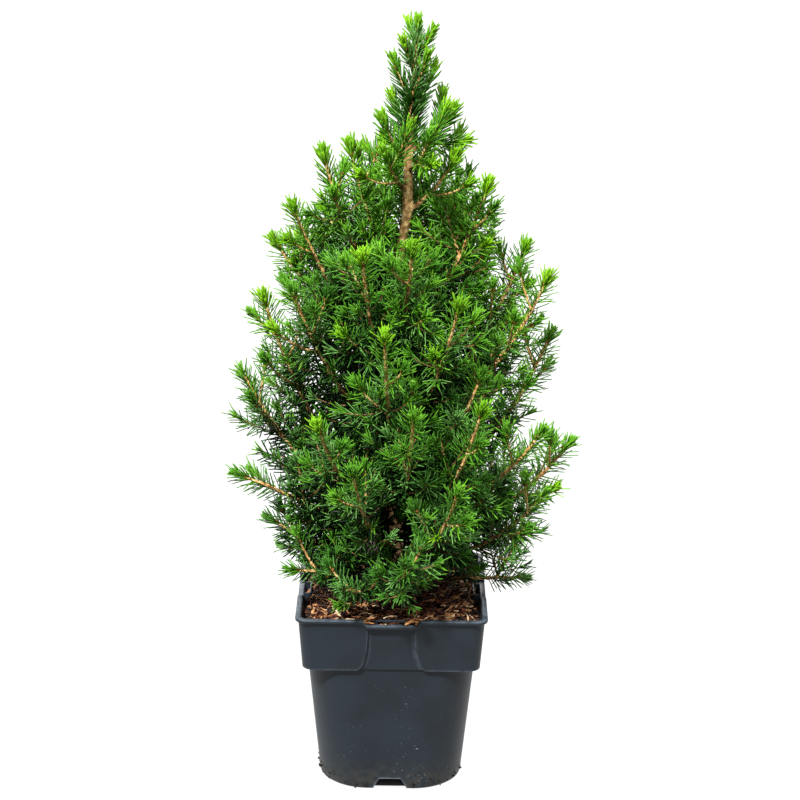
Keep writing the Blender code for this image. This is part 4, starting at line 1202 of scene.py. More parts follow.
def grow():
    """The leader and the boughs, and their twigs in the solids' order. Gives back the space,
    each bough's whole path, and the bare limbs."""
    rng = np.random.default_rng(SEED)
    space = Space()
    heights = np.arange(TRUNK_FOOT, TRUNK_TIP, SAMPLE)
    space.add_limb(trunk_axis(heights), trunk_radius(heights))
    heights = np.linspace(TRUNK_TIP + CLEAR, LEADER_TIP - BUD, PATH_POINTS)
    stems = [(Shoot(0, trunk_axis(heights), 0), LEADER_TWIG_COUNT, LEADER_TWIGS)]
    whole_paths, bare_limbs = [], []
    for mass, (_, azimuth, foot, reach, tip, rise, twigs, bare) in enumerate(all_boughs, start=1):
        path = bough_path(azimuth, foot, reach, tip, rise)
        whole_paths.append(path)
        if bare:
            split = round(bare * (len(path) - 1))
            limb = resample(path[: split + 1], SAMPLE)
            space.add_limb(limb, np.linspace(LIMB_FOOT_RADIUS, STEM_RADIUS, len(limb)))
            beyond = SAMPLE * len(limb) * (1 - bare) / bare
            bare_limbs.append(Shoot(mass, limb, 0, BARE_FOOT, beyond))
            foot = path[split] + unit(path[split + 1] - path[split]) * CLEAR
            path = np.concatenate([[foot], path[split + 1 :]])
        stems.append((Shoot(mass, path, 0, 0 if bare else BARE_FOOT), twigs, TWIGS))
    for stem, _, _ in stems:
        space.add(stem)
    for stem, count, rule in stems:
        grow_twigs(space, stem, count, rule, rng)
    return space, whole_paths, bare_limbs


space, whole_paths, bare_limbs = grow()
print(f"{len(space.shoots)} shoots as in the solids")

# %% Sprigs
# The trunk carries sprigs too. It is no part of a mass, so it counts as one of its own.
sprig_rng = np.random.default_rng(SEED + 1)
trunk_line = trunk_axis(np.linspace(TRUNK_FOOT, TRUNK_TIP, PATH_POINTS))
trunk_stem = Shoot(len(all_boughs) + 1, trunk_line, 0, beyond=1)
for shoot in space.shoots + bare_limbs:
    rule = LIMB_SPRIGS if shoot.on_limb else SPRIGS
    every = SPRIG_EVERY * np.interp(shoot.samples[-1][2], *zip(*SPRIG_SPACING))
    every *= LIMB_SPRIGS_CLOSER if shoot.on_limb else 1
    sprig_count = round(shoot.length * (rule["last"] - rule["first"]) / every)
    grow_twigs(space, shoot, sprig_count, rule, sprig_rng)
grow_twigs(space, trunk_stem, TRUNK_SPRIG_COUNT, TRUNK_SPRIGS, sprig_rng)
total = sum(shoot.length for shoot in space.shoots)
print(f"{len(space.shoots)} shoots with the sprigs, {total:.1f} m of stem")

# %% [markdown]
# ## Bark
# Spruce bark on a plant of this age is thin, orange-brown and scaly. On the trunk it cracks
# into small plates, with a ring of wrinkles under each bough. On the shoots it is smoother, and
# every needle stands on a peg, so that the stem looks knobbly. The peg pattern is the product
# of two spiral waves, which is what a lattice of pegs on a cylinder looks like.

# %% Bark finishes
def spruce_bark(name, colours, patch):
    """Dry, waxy scales: matt, with pale edges and dark cracks between them."""
    material, tree, shader, place = new_finish(
        name, {"Roughness": 0.75, "IOR": 1.45, "Specular IOR Level": 0.35}
    )
    tree.links.new(patches(tree, place, patch, colours, 4.0), shader.inputs["Base Color"])
    roughen(tree, shader, place, 0.0009, 4.0, 0.00025)
    return material


def aged_bark(name, old_colours, young_colours, young_from, old_below):
    """Bark that is dark and mottled near the foot, and tan and flaky higher up."""
    material, tree, shader, place = new_finish(
        name, {"Roughness": 0.78, "IOR": 1.45, "Specular IOR Level": 0.3}
    )
    old = patches(tree, place, 0.0032, old_colours, 4.0)
    young = patches(tree, place, 0.0030, young_colours, 4.0)
    height = add_node(tree, "SeparateXYZ", {}, {"Vector": place}).outputs["Z"]
    heights = {"From Min": young_from, "From Max": old_below}
    age = add_node(tree, "MapRange", heights, {"Value": height}).outputs["Result"]
    mixed = add_node(tree, "Mix", {"data_type": "RGBA"}, {0: age, 6: young, 7: old})
    tree.links.new(mixed.outputs[2], shader.inputs["Base Color"])
    roughen(tree, shader, place, 0.0010, 4.0, 0.0003)
    return material


OLD_TRUNK, YOUNG_TRUNK = ("#4a3825", "#755a3b", "#a8875e"), ("#745831", "#9c7a49", "#bfa673")
# The boughs' bark darkens from 270 mm down to nearly black below 170 mm: older bark, with painted
# shade on it.
OLD_BOUGH_WITH_PAINTED_SHADE, YOUNG_BOUGH = ("#1d140d", "#33241a", "#4b3626"), ("#4a3220", "#86603c", "#b08856")
TRUNK_FINISH = aged_bark("spruce_bark_trunk", OLD_TRUNK, YOUNG_TRUNK, 0.36, 0.25)
OLD_FINISH = aged_bark("spruce_bark_bough", OLD_BOUGH_WITH_PAINTED_SHADE, YOUNG_BOUGH, 0.27, 0.17)
YOUNG_FINISH = spruce_bark("spruce_bark_shoot", ("#8c6131", "#c09054", "#e0c08a"), 0.0022)
SPRIG_FINISH = spruce_bark("spruce_bark_sprig", ("#5a3c24", "#8c6840"), 0.0026)
print("bark:", TRUNK_FINISH.name, OLD_FINISH.name, YOUNG_FINISH.name)

# %% The trunk
TRUNK_SEED, TRUNK_SIDES, TRUNK_STEP = 11, 56, 0.0008
TRUNK_INTO_LEADER = 0.004
TYPICAL_RADIUS = 0.0044
FLARE_RIBS, FLARE_RIB_DEPTH = 5, 0.25
PLATES_ROUND, PLATE_TALL, PLATE_RELIEF = 14, 0.0052, 0.00042
CRACKS_WANDER, WANDER_TALL, CRACK_POWER = 0.8, 0.012, 0.6
FLAKE_TALL, FLAKE_RELIEF = 0.0018, 0.00022
KNUCKLE, KNUCKLE_SIZE, KNUCKLE_DROP, KNUCKLE_TALLER = 0.0009, 0.0034, 0.001, 0.8


def make_trunk():
    """Radius = taper + flare ribs + plates + flakes + a knuckle under each bough. Plates are
    noise sharpened to flat tops and narrow cracks: 1 - |noise|^0.6."""
    rng = np.random.default_rng(TRUNK_SEED)
    count = round((TRUNK_TIP - TRUNK_FOOT) / TRUNK_STEP)
    heights = np.linspace(TRUNK_FOOT, TRUNK_TIP + TRUNK_INTO_LEADER, count)[:, None]
    angles = 2 * math.pi * np.arange(TRUNK_SIDES)[None] / TRUNK_SIDES
    ribs = FLARE_RIB_DEPTH * trunk_flare(heights) * (np.cos(FLARE_RIBS * angles) - 1)
    around = angles * PLATES_ROUND / (2 * math.pi)
    wander = CRACKS_WANDER * lattice_noise(around, heights / WANDER_TALL, rng, PLATES_ROUND)
    cracks = np.abs(lattice_noise(around + wander, heights / PLATE_TALL, rng, PLATES_ROUND))
    flakes = lattice_noise(2 * around, heights / FLAKE_TALL, rng, 2 * PLATES_ROUND)
    knuckles = 0 * angles * heights
    for _, azimuth, foot, *_ in all_boughs:
        turn = np.angle(np.exp(1j * (angles - math.radians(azimuth)))) * TYPICAL_RADIUS
        climb = (heights - foot + KNUCKLE_DROP) * KNUCKLE_TALLER
        knuckles = knuckles + KNUCKLE * np.exp(-(turn**2 + climb**2) / KNUCKLE_SIZE**2)
    radius = trunk_radius(heights) + ribs - PLATE_RELIEF * (1 - cracks**CRACK_POWER)
    radius += FLAKE_RELIEF * flakes + np.minimum(knuckles, KNUCKLE)
    ring = np.stack([np.cos(angles), np.sin(angles), 0 * angles], axis=-1)
    points = trunk_axis(heights[:, 0])[:, None] + radius[..., None] * ring
    points, fans = close_ends(points.reshape(-1, 3), TRUNK_SIDES)
    make_piece("trunk_bark", points, ring_quads(count, TRUNK_SIDES), fans,
               slot="spruce_bark", finish=TRUNK_FINISH, stands_for=["trunk"])


make_trunk()

# %% Stems
PEG_PITCH = 0.0021  # rise of the peg spiral in one turn
PEG_HEIGHT = 0.20  # share of the stem's radius
OLD_SHARE = 0.42  # the inner part of each bough has older, darker bark, with painted shade low in the crown
INTO_TRUNK = 0.6  # how far a bough reaches into the trunk, as a share of its first step
SLIM, SLIM_BY_LENGTH = 0.62, 3.2  # a short bough is slimmer
# Radii in metres at even steps from foot to tip, spacing of the rings, and corners of a ring
LEADER_RADII = (0.0026, 0.0018, 0.0014, 0.0010, 0.0008)
BOUGH_RADII = (0.0020, 0.0018, 0.0015, 0.0012, 0.0009)
BOUGH_FOOT_WIDER = 1.12
LEADER_RINGS, BOUGH_RINGS = (0.0012, 8), (0.0013, 8)
TWIG_TUBE = ((0.0010, 0.0008, 0.0006), 0.0018, 6)
SPRIG_TUBE = ((0.0006, 0.0004), 0.0045, 3)


def stem_tube(path, radii, step, sides):
    """A tube of rings along a path: radius (1 + peg wave), where the peg wave is
    cos(3a - 2 pi s / pitch) cos(2a + 2 pi s / pitch). Both ends are closed."""
    fine = resample(path, step, 3)
    ways, firsts, seconds = side_ways(fine)
    run = np.linspace(0, step * (len(fine) - 1), len(fine))[:, None]
    angles = 2 * math.pi * np.arange(sides)[None] / sides
    climb = 2 * math.pi * run / PEG_PITCH
    pegs = np.cos(3 * angles - climb) * np.cos(2 * angles + climb)
    width = np.interp(np.linspace(0, 1, len(fine)), np.linspace(0, 1, len(radii)), radii)[:, None]
    radius = (width * (1 + PEG_HEIGHT * pegs))[..., None]
    cos, sin = np.cos(angles)[..., None], np.sin(angles)[..., None]
    ring = cos * firsts[:, None] + sin * seconds[:, None]
    points, fans = close_ends((fine[:, None] + radius * ring).reshape(-1, 3), sides)
    return points, ring_quads(len(fine), sides), fans


def join_tubes(name, tubes, finish, stands_for=()):
    """One piece from many tubes: their points end to end, and their faces counted on."""
    all_points, all_quads, all_fans = zip(*tubes)
    firsts = np.cumsum([0] + [len(points) for points in all_points])
    joined = [np.concatenate([faces + first for faces, first in zip(sets, firsts)])
              for sets in (all_quads, all_fans)]
    make_piece(name, np.concatenate(all_points), *joined, slot="spruce_bark", finish=finish,
               stands_for=stands_for)


old_tubes, young_tubes = [], [stem_tube(space.shoots[0].samples, LEADER_RADII, *LEADER_RINGS)]
for path in whole_paths:
    length = float(np.linalg.norm(np.diff(path, axis=0), axis=1).sum())
    radii = min(1.0, SLIM + SLIM_BY_LENGTH * length) * np.array(BOUGH_RADII)
    path = np.concatenate([[path[0] - (path[1] - path[0]) * INTO_TRUNK], path])
    split = round(OLD_SHARE * len(path))
    knee = float(np.interp(OLD_SHARE, np.linspace(0, 1, len(radii)), radii))
    foot = radii[0] * BOUGH_FOOT_WIDER
    old_tubes.append(stem_tube(path[: split + 2], (foot, knee), *BOUGH_RINGS))
    young_tubes.append(stem_tube(path[split:], (knee, *radii[2:]), *BOUGH_RINGS))
young_tubes += [stem_tube(shoot.samples, *TWIG_TUBE) for shoot in space.shoots if shoot.order == 1]
sprig_tubes = [stem_tube(shoot.samples, *SPRIG_TUBE) for shoot in space.shoots if shoot.order > 1]
join_tubes("boughs_old_bark", old_tubes, OLD_FINISH, limbs)
join_tubes("shoots_young_bark", young_tubes, YOUNG_FINISH)
join_tubes("sprigs_bark", sprig_tubes, SPRIG_FINISH)

# %% [markdown]
# ## Needles
# A needle of this spruce is about 12 mm long and a millimetre thick, stiff, and bent a little
# forward. It stands alone on its peg, and the pegs wind round the stem at 137.5 degrees. Each
# is a closed spindle of twelve triangles, rooted in the middle of its stem. They are dealt into
# sprays of equal colour: the newest growth is yellow-green and crowds forward like a brush,
# then come clear green and dark green. Deep in the crown the sprays are nearly black green,
# which is painted shade, and in the upper crown and on the right they are lighter, which is
# painted light. A plain colour for each piece keeps fifty thousand needles light, and the
# mixing of pieces gives the variety.

# %% Needle colours
NEEDLE_TONES = {
    "fresh_1": ("#669b0d", "#7cae1f"),
    "fresh_2": ("#568c0d", "#699c1a"),
    "young_1": ("#4e8915", "#679f2b"),
    "young_2": ("#427a15", "#558d24"),
    "green_1": ("#396d17", "#4e822b"),
    "green_2": ("#2c5d13", "#407423"),
    "green_3": ("#254f0f", "#35641e"),
    "pale_1": ("#4c7e38", "#70a052"),
    "pale_2": ("#3a6a29", "#5a8b40"),
    # the deep tones: nearly black green, the painted shade deep in the crown
    "deep_1": ("#1c400f", "#2a5218"),
    "deep_2": ("#112d0a", "#1b3e0f"),
    "deep_3": ("#0a1f06", "#102e0a"),
}
# Steps of tone from new growth to the darkest; a spray's step is its age with painted shade and
# painted light added
AGE_AND_SHADE_STEPS = (
    ("fresh_1", "fresh_2"),
    ("young_1", "young_2"),
    ("young_2", "green_1", "green_2", "pale_1"),
    ("green_2", "pale_1", "pale_2", "pale_2"),
    ("green_3", "pale_2", "deep_1", "deep_2"),
    ("deep_1", "deep_2", "deep_3", "deep_3"),
)


def waxy_needle(name, colours):
    """A leaf with a waxy skin: a clear green under a soft, fairly tight gloss."""
    material, tree, shader, place = new_finish(
        "spruce_needle_" + name, {"Roughness": 0.40, "IOR": 1.45, "Specular IOR Level": 0.2}
    )
    tree.links.new(patches(tree, place, 0.004, colours, 1.0), shader.inputs["Base Color"])
    return material


print(f"{len(NEEDLE_TONES)} needle colours in {len(AGE_AND_SHADE_STEPS)} ages")

# %% Where the needles stand
needle_rng = np.random.default_rng(SEED + 2)
SPIRE_FROM = 0.43  # height
# How they are dealt into colours
SPRAY = 0.015  # length of stem that has one colour
FRESH_RUN = 0.006  # the tuft's colour reaches this far down
YOUNGEST, AGE_SPREAD = 1.05, 0.4
# a spray's step: its age by its number, with painted shade added in the crown's shade and on sprigs
AGE_PER_SPRAY, PAINTED_SHADE, FULLY_LIT, SPRIG_PAINTED_SHADE = 0.75, 9.0, 0.95, 1.25
# height and step added: painted shade low down and at the spire's top, painted light between them
SHADE_AND_LIGHT_BY_HEIGHT = (
    (0.18, 0.9), (0.24, 0.2), (0.28, -0.2), (0.33, -1.0), (0.39, -1.5), (0.43, -0.7), (0.46, 0.6),
)
# painted light on the right and painted shade on the left, full at this distance from the middle
SUNNY_SIDE, SUNNY_HALF = 0.7, 0.060
FRESH_HEIGHTS = (0.20, 0.28, 0.36)
FRESH_SHARES = (0.02, 0.18, 0.62, 0.85)  # below, between and above those heights
FRESH_BY_ORDER = (1.0, 0.45, 0.06)
LIT_FROM, LIT_FADE, HARDLY_LIT = 0.55, 0.35, 0.1


def any_tone(names):
    """The number of one of some tones, picked at random."""
    return list(NEEDLE_TONES).index(names[needle_rng.integers(len(names))])


def spray_tones(shoot, run):
    """A tone for each place along a stem. Each spray, counted back from the tip, takes one step of
    tone: later with its number, as it is older. Painted shade and light are added: darker in the
    crown's shade as the square of the shade and on a sprig, darker on the left and lighter on the
    right, and darker low down and at the spire's top but lighter between."""
    whole = shoot.length + shoot.beyond
    spray = np.maximum(np.floor((whole - run) / SPRAY).astype(int), 0)
    tones = {}
    for number in np.unique(spray):
        place = round((whole - (number + 0.5) * SPRAY) / SAMPLE)
        middle = shoot.samples[min(max(0, place), len(shoot.samples) - 1)]
        shade = max(0.0, FULLY_LIT - float(exposure(middle)))
        age = YOUNGEST + AGE_PER_SPRAY * number + PAINTED_SHADE * shade**2
        age += SPRIG_PAINTED_SHADE * (shoot.order > 1) + needle_rng.uniform(-AGE_SPREAD, AGE_SPREAD)
        age += float(np.interp(float(middle[2]), *zip(*SHADE_AND_LIGHT_BY_HEIGHT)))
        age -= SUNNY_SIDE * float(np.clip(middle[0] / SUNNY_HALF, -1, 1))
        tones[number] = any_tone(AGE_AND_SHADE_STEPS[int(np.clip(round(age), 1, len(AGE_AND_SHADE_STEPS) - 1))])
    return np.array([tones[number] for number in spray])


def tuft_tone(shoot):
    """New growth at the tips that stand in the light, more of it higher up. Elsewhere the tuft
    is only a little lighter than the needles below it, and a tuft that is hardly lit takes a
    darker step, as painted shade."""
    tip = shoot.samples[-1]
    share = FRESH_SHARES[int(np.searchsorted(FRESH_HEIGHTS, tip[2]))]
    lit = smooth_step((float(exposure(tip)) - LIT_FROM) / LIT_FADE) * share
    by_order = 1.0 if tip[2] > SPIRE_FROM else FRESH_BY_ORDER[min(shoot.order, 2)]
    fresh = needle_rng.random() < lit * by_order
    return any_tone(AGE_AND_SHADE_STEPS[0] if fresh else AGE_AND_SHADE_STEPS[1 if lit > HARDLY_LIT else 2])


# %% Which needles stay on their stem
PART_FROM, PART_KEPT, PART_START = 0.50, 0.80, 0.018
PART_WAY = np.array([0.0, -0.7, 0.2])
OLD_KEPT, OLD_FADE = 0.74, 0.030  # needles fall from older wood: the share left, and how soon
OPENING_KEPT = 0.10  # share of the needles that stand in the opening


def stays(shoot, roots, aside, reach, to_tip):
    """True for the needles that are kept. On old wood some have fallen, where a stem faces out
    of the crown some part to its sides, and in the opening only the tufts are left whole."""
    count = len(roots)
    out = unit((roots - trunk_axis(roots[:, 2])) * (1, 1, 0) + (0, 0, 1e-6))
    facing = (aside * unit(out + PART_WAY)).sum(axis=1)
    kept = (facing < PART_FROM) | (roots[:, 2] > SPIRE_FROM)
    kept |= needle_rng.random(count) < PART_KEPT
    kept &= needle_rng.random(count) < OLD_KEPT + (1 - OLD_KEPT) * np.exp(-to_tip / OLD_FADE)
    kept |= to_tip < PART_START
    inside = in_opening(roots + 0.5 * reach) | in_opening(roots + reach)
    inside &= (to_tip > TUFT_ROOTS) | (shoot.order > 1)
    return kept & (~inside | (needle_rng.random(count) < OPENING_KEPT))


# %% The needles of a shoot
NEEDLE_EVERY = (0.00056, 0.00072, 0.00110)  # metres of stem for one needle, by order
FEWEST_NEEDLES = 4
NEEDLE_LENGTH, NEEDLE_LENGTHS, SHORTER_AT_TIP = (0.0138, 0.0134, 0.0126), (0.88, 1.05), 0.12
OLD_LEAN, MIDDLE_LEAN, TIP_LEAN = math.radians(72), math.radians(62), math.radians(34)
TIP_RUN = 0.018  # the needles lean forward over this last stretch
OLD_FROM, OLD_RUN = 0.03, 0.05  # and outwards this far back
LEAN_SPREAD, TURN_SPREAD = math.radians(7), 0.25
FORWARD_BEND, UP_BEND, TUFT_BEND = 0.09, 0.02, 0.3
TUFT_COUNT, TUFT_HEIGHT, TUFT_LENGTHS = (46, 34, 9), (0.0095, 0.0086, 0.0068), (0.85, 1.04)
TUFT_ROOTS, TUFT_CROWDING = 0.0080, 1.3  # a tuft's needles root in this last stretch
TUFT_MOST = 0.7  # or in this share of a short shoot
TUFT_SHOULDER = 0.75  # how far the lowest rooted needles of a tuft fall short of its height
TUFT_SPREAD = math.radians(30)
TUFT_NARROW, TUFT_WIDEN = 0.6, 0.6
SPIRE_LEAN = ((0.40, 1.0), (0.455, 0.56))  # height and share: in the spire they hug the stem
SPIRE_LENGTH = ((0.455, 1.0), (0.52, 0.76))  # height and share of the length
SPIRE_CLOSER = 0.66
STUNTED, STUNTED_BELOW, STUNTED_FADE = 0.84, 0.145, 0.030  # low down they are shorter


def needles_of(shoot):
    """Roots, directions, bends, lengths and tones of one shoot's needles, first those along
    the stem, then the tuft's. A tuft is a blunt brush with sloping shoulders: a needle rooted
    lower leans further out and ends lower, by the shoulder's share of the height."""
    order = min(shoot.order, 2)
    every = NEEDLE_EVERY[order] * (SPIRE_CLOSER if shoot.samples[0][2] > SPIRE_FROM else 1)
    count = max(FEWEST_NEEDLES, int((shoot.length - shoot.bare) / every))
    run = shoot.bare + (shoot.length - shoot.bare) * (np.arange(count) + 0.5) / count
    to_tip = shoot.length + shoot.beyond - run
    tufts = 0 if shoot.on_limb else TUFT_COUNT[order]
    low = needle_rng.random(tufts) ** TUFT_CROWDING
    drop = np.minimum(low * TUFT_ROOTS, TUFT_MOST * shoot.length)
    places = np.concatenate([run, shoot.length - drop])
    angle = TWIG_TURN * np.arange(len(places)) + needle_rng.normal(0, TURN_SPREAD, len(places))
    tip_share = smooth_step(1 - to_tip / TIP_RUN)
    old_share = smooth_step((to_tip - OLD_FROM) / OLD_RUN)
    lean = MIDDLE_LEAN + (TIP_LEAN - MIDDLE_LEAN) * tip_share + (OLD_LEAN - MIDDLE_LEAN) * old_share
    lean = lean + needle_rng.normal(0, LEAN_SPREAD, count)
    widening = TUFT_NARROW + TUFT_WIDEN * low
    tuft_lean = TUFT_SPREAD * np.sqrt(needle_rng.random(tufts)) * widening
    tuft_length = (TUFT_HEIGHT[order] * (1 - TUFT_SHOULDER * low) + drop) / np.cos(tuft_lean)
    lengths = NEEDLE_LENGTH[order] * needle_rng.uniform(*NEEDLE_LENGTHS, count)
    lengths = np.concatenate([
        lengths * (1 - SHORTER_AT_TIP * tip_share),
        tuft_length * needle_rng.uniform(*TUFT_LENGTHS, tufts),
    ])
    roots, forward, first, second = shoot.at(places)
    forward = unit(forward)
    lean = np.concatenate([lean, tuft_lean])[:, None]
    lean = lean * np.interp(roots[:, 2:], *zip(*SPIRE_LEAN))
    aside = np.cos(angle)[:, None] * first + np.sin(angle)[:, None] * second
    ways = unit(np.cos(lean) * forward + np.sin(lean) * aside)
    bends = FORWARD_BEND * forward + np.array([0, 0, UP_BEND])
    bends[count:] *= TUFT_BEND
    fresh = tuft_tone(shoot)
    tones = np.where(to_tip < FRESH_RUN, fresh, spray_tones(shoot, run))
    tones = np.concatenate([tones, np.full(tufts, fresh)])
    grown = smooth_step((roots[:, 2] - STUNTED_BELOW) / STUNTED_FADE)
    lengths *= STUNTED + (1 - STUNTED) * grown
    lengths *= np.interp(roots[:, 2], *zip(*SPIRE_LENGTH))
    reach = ways * lengths[:, None]
    kept = stays(shoot, roots, aside, reach, np.concatenate([to_tip, drop]))
    return [part[kept] for part in (roots, ways, bends, lengths, tones)]


# %% The needles of the trunk's young top
TRUNK_NEEDLES, TRUNK_NEEDLES_THIN = 300, 1.35
TRUNK_NEEDLE_HEIGHTS = (0.365, 0.4745)
TRUNK_NEEDLE_LEAN, TRUNK_TURN_SPREAD = math.radians(48), 0.3
TRUNK_NEEDLE_LENGTHS, TRUNK_NEEDLE_BEND = (0.85, 1.05), 0.12
TRUNK_ROOTS_AT = 0.8  # share of the trunk's radius
TRUNK_FRONT_FROM = 0.455  # the height below which none stands on the front
ONE_TONE = 10  # needles


def needles_on_the_trunk():
    """The trunk's young top still has its own needles, sparser downwards."""
    low, high = TRUNK_NEEDLE_HEIGHTS
    height = high - (high - low) * np.linspace(0, 1, TRUNK_NEEDLES) ** TRUNK_NEEDLES_THIN
    angle = TWIG_TURN * np.arange(TRUNK_NEEDLES)
    angle = angle + needle_rng.normal(0, TRUNK_TURN_SPREAD, TRUNK_NEEDLES)
    aside = np.stack([np.cos(angle), np.sin(angle), 0 * angle], axis=1)
    up = np.array([0.0, 0.0, 1.0])
    ways = math.cos(TRUNK_NEEDLE_LEAN) * up + math.sin(TRUNK_NEEDLE_LEAN) * aside
    roots = trunk_axis(height) + TRUNK_ROOTS_AT * trunk_radius(height)[:, None] * aside
    lengths = NEEDLE_LENGTH[0] * needle_rng.uniform(*TRUNK_NEEDLE_LENGTHS, TRUNK_NEEDLES)
    choices = [list(NEEDLE_TONES).index(name) for name in AGE_AND_SHADE_STEPS[3]]
    tones = np.repeat(needle_rng.choice(choices, TRUNK_NEEDLES // ONE_TONE), ONE_TONE)
    kept = (aside @ unit(PART_WAY) < PART_FROM) | (height > TRUNK_FRONT_FROM)
    return [part[kept] for part in (roots, unit(ways), TRUNK_NEEDLE_BEND * ways, lengths, tones)]


gathered = [needles_of(shoot) for shoot in space.shoots + bare_limbs] + [needles_on_the_trunk()]
roots, ways, bends, lengths, tones = (np.concatenate(part) for part in zip(*gathered))
print(f"{len(roots)} needles")

# %% Bud scales and one dried tuft
SCALES, SCALES_BELOW_TIP = 7, 0.0050
SCALE_LENGTH, SCALE_WIDTH = 0.0022, 0.0011
SCALE_OUT, SCALE_LEAN, SCALE_BEND = 0.0006, 0.55, 0.1
DRIED_AT = (-0.0125, -0.0560, 0.1880)
DRIED_COUNT, DRIED_LENGTH, DRIED_LENGTHS, DRIED_DROOP = 34, 0.0085, (0.6, 1.1), 0.55
DRIED_WAY, DRIED_SPREAD = (0, -0.6, -0.3), (0.0006, 0.0006, 0.0035)


def bud_scales():
    """A collar of short scales at the foot of each tuft, left from the bud that it broke from."""
    parts = []
    for shoot in space.shoots:
        if shoot.order > 1:
            continue
        angle = TWIG_TURN * np.arange(SCALES)[:, None]
        root, forward, first, second = shoot.at(np.full(SCALES, shoot.length - SCALES_BELOW_TIP))
        aside = np.cos(angle) * first + np.sin(angle) * second
        ways = unit(forward + SCALE_LEAN * aside)
        parts.append((root + aside * SCALE_OUT, ways, SCALE_BEND * forward))
    return [np.concatenate(part) for part in zip(*parts)]


def dried_tuft():
    """Grey-pink needles that hang from the stem nearest to a place low in the crown."""
    samples = np.concatenate([shoot.samples for shoot in space.shoots])
    root = samples[np.linalg.norm(samples - DRIED_AT, axis=1).argmin()]
    ways = needle_rng.normal(0, 1, (DRIED_COUNT, 3)) + DRIED_WAY
    roots = root + needle_rng.uniform(-1, 1, (DRIED_COUNT, 3)) * DRIED_SPREAD
    bends = np.broadcast_to([0.0, 0.0, -DRIED_DROOP], (DRIED_COUNT, 3))
    lengths = DRIED_LENGTH * needle_rng.uniform(*DRIED_LENGTHS, DRIED_COUNT)
    return roots, unit(ways), bends, lengths


# %% Needles that would stand in the pot or the trunk are left out
BARK_GAP = 0.0005
tips = roots + (ways + bends) * lengths[:, None]
half_way = roots + (ways + 0.25 * bends) * lengths[:, None] / 2
from_axis = np.linalg.norm((tips - trunk_axis(tips[:, 2]))[:, :2], axis=1)
off_trunk = (from_axis - trunk_radius(tips[:, 2]) > BARK_GAP) | (tips[:, 2] > TRUNK_TIP)
keep = clear_of_pot(tips) & clear_of_pot(half_way) & off_trunk
roots, ways, bends, lengths, tones = (part[keep] for part in (roots, ways, bends, lengths, tones))
print(f"{len(roots)} needles kept")

# %% Spindles
NEEDLE_WIDTH = 0.00082
WIDER_BY_TONE = {"fresh": 1.25, "young": 1.05, "deep": 1.45}
WIDER_BY_HEIGHT = ((0.36, 1.0), (0.42, 1.2))  # the vigorous top has stouter needles
SPINDLE_RINGS = ((0.10, 0.92), (0.88, 0.88))  # share of the length, share of the width
CORNERS_OUT = 1.1  # a three-cornered ring stands out a little, to look as wide as a round one
SPINDLE_FACES = np.array(
    [(0, 2, 1), (0, 3, 2), (0, 1, 3)]
    + [face for a, b in ((0, 1), (1, 2), (2, 0))
       for face in ((1 + a, 1 + b, 4 + b), (1 + a, 4 + b, 4 + a))]
    + [(4, 5, 7), (5, 6, 7), (6, 4, 7)]
)


def spindles(roots, ways, bends, lengths, widths):
    """Needles (n, 8, 3): a point in the stem, two three-cornered rings and a point at the tip,
    on the line root + length (t way + t^2 bend)."""
    length, width = lengths[:, None], widths[:, None]
    side = unit(np.cross(ways, bends + (1e-6, 0, 0)))
    other = np.cross(side, ways)
    corners = [roots]
    for share, wide in SPINDLE_RINGS:
        middle = roots + length * (share * ways + share**2 * bends)
        for angle in 2 * math.pi * np.arange(3) / 3:
            offset = math.cos(angle) * side + math.sin(angle) * other
            corners.append(middle + wide * width / 2 * offset * CORNERS_OUT)
    corners.append(roots + length * (ways + bends))
    return np.stack(corners, axis=1)


def make_spindles(name, *shape, slot, finish, stands_for=()):
    """One piece of many spindles, which share nothing but their colour."""
    points = spindles(*shape)
    make_piece(name, points, copies(SPINDLE_FACES, points.shape[1], len(points)),
               slot=slot, finish=finish, stands_for=stands_for, smooth=False)


widths = NEEDLE_WIDTH * np.interp(roots[:, 2], *zip(*WIDER_BY_HEIGHT))
for number, (name, colours) in enumerate(NEEDLE_TONES.items()):
    some = tones == number
    wider = WIDER_BY_TONE.get(name.split("_")[0], 1.0)
    shape = roots[some], ways[some], bends[some], lengths[some], wider * widths[some]
    make_spindles("needles_" + name, *shape, slot="spruce_needles",
                  finish=waxy_needle(name, colours), stands_for=masses)

# %% The scales and the dried tuft as spindles
scales = bud_scales()
scale_sizes = [np.full(len(scales[0]), size) for size in (SCALE_LENGTH, SCALE_WIDTH)]
SCALE_FINISH = spruce_bark("bud_scale_papery", ("#7c4a22", "#ac7038"), 0.002)
DRIED_FINISH = waxy_needle("dried", ("#b99f99", "#e2d2cd"))
make_piece("bud_scales", spindles(*scales, *scale_sizes),
           copies(SPINDLE_FACES, 8, len(scales[0])), slot="spruce_bark", finish=SCALE_FINISH)
make_spindles("dried_needles", *dried_tuft(), np.full(DRIED_COUNT, NEEDLE_WIDTH),
              slot="spruce_needles", finish=DRIED_FINISH)

# %% [markdown]
# ## The studio
# A pale floor that runs past the edge of the view, a soft white sky and a few soft lights give
# the plain light of a plant catalogue. The key light comes from the upper left, a broad fill
# and a top light from the right, and one from behind keeps the far side readable. A weak light
# reaches only the trunk, whose foot stands deep in the shade. The floor is lit on its own,
# without the plant's hard shadow, so that it stays white. The camera stands in front and looks
# down on the mulch a little.

# %% Floor
FLOOR_HALF = 9.0
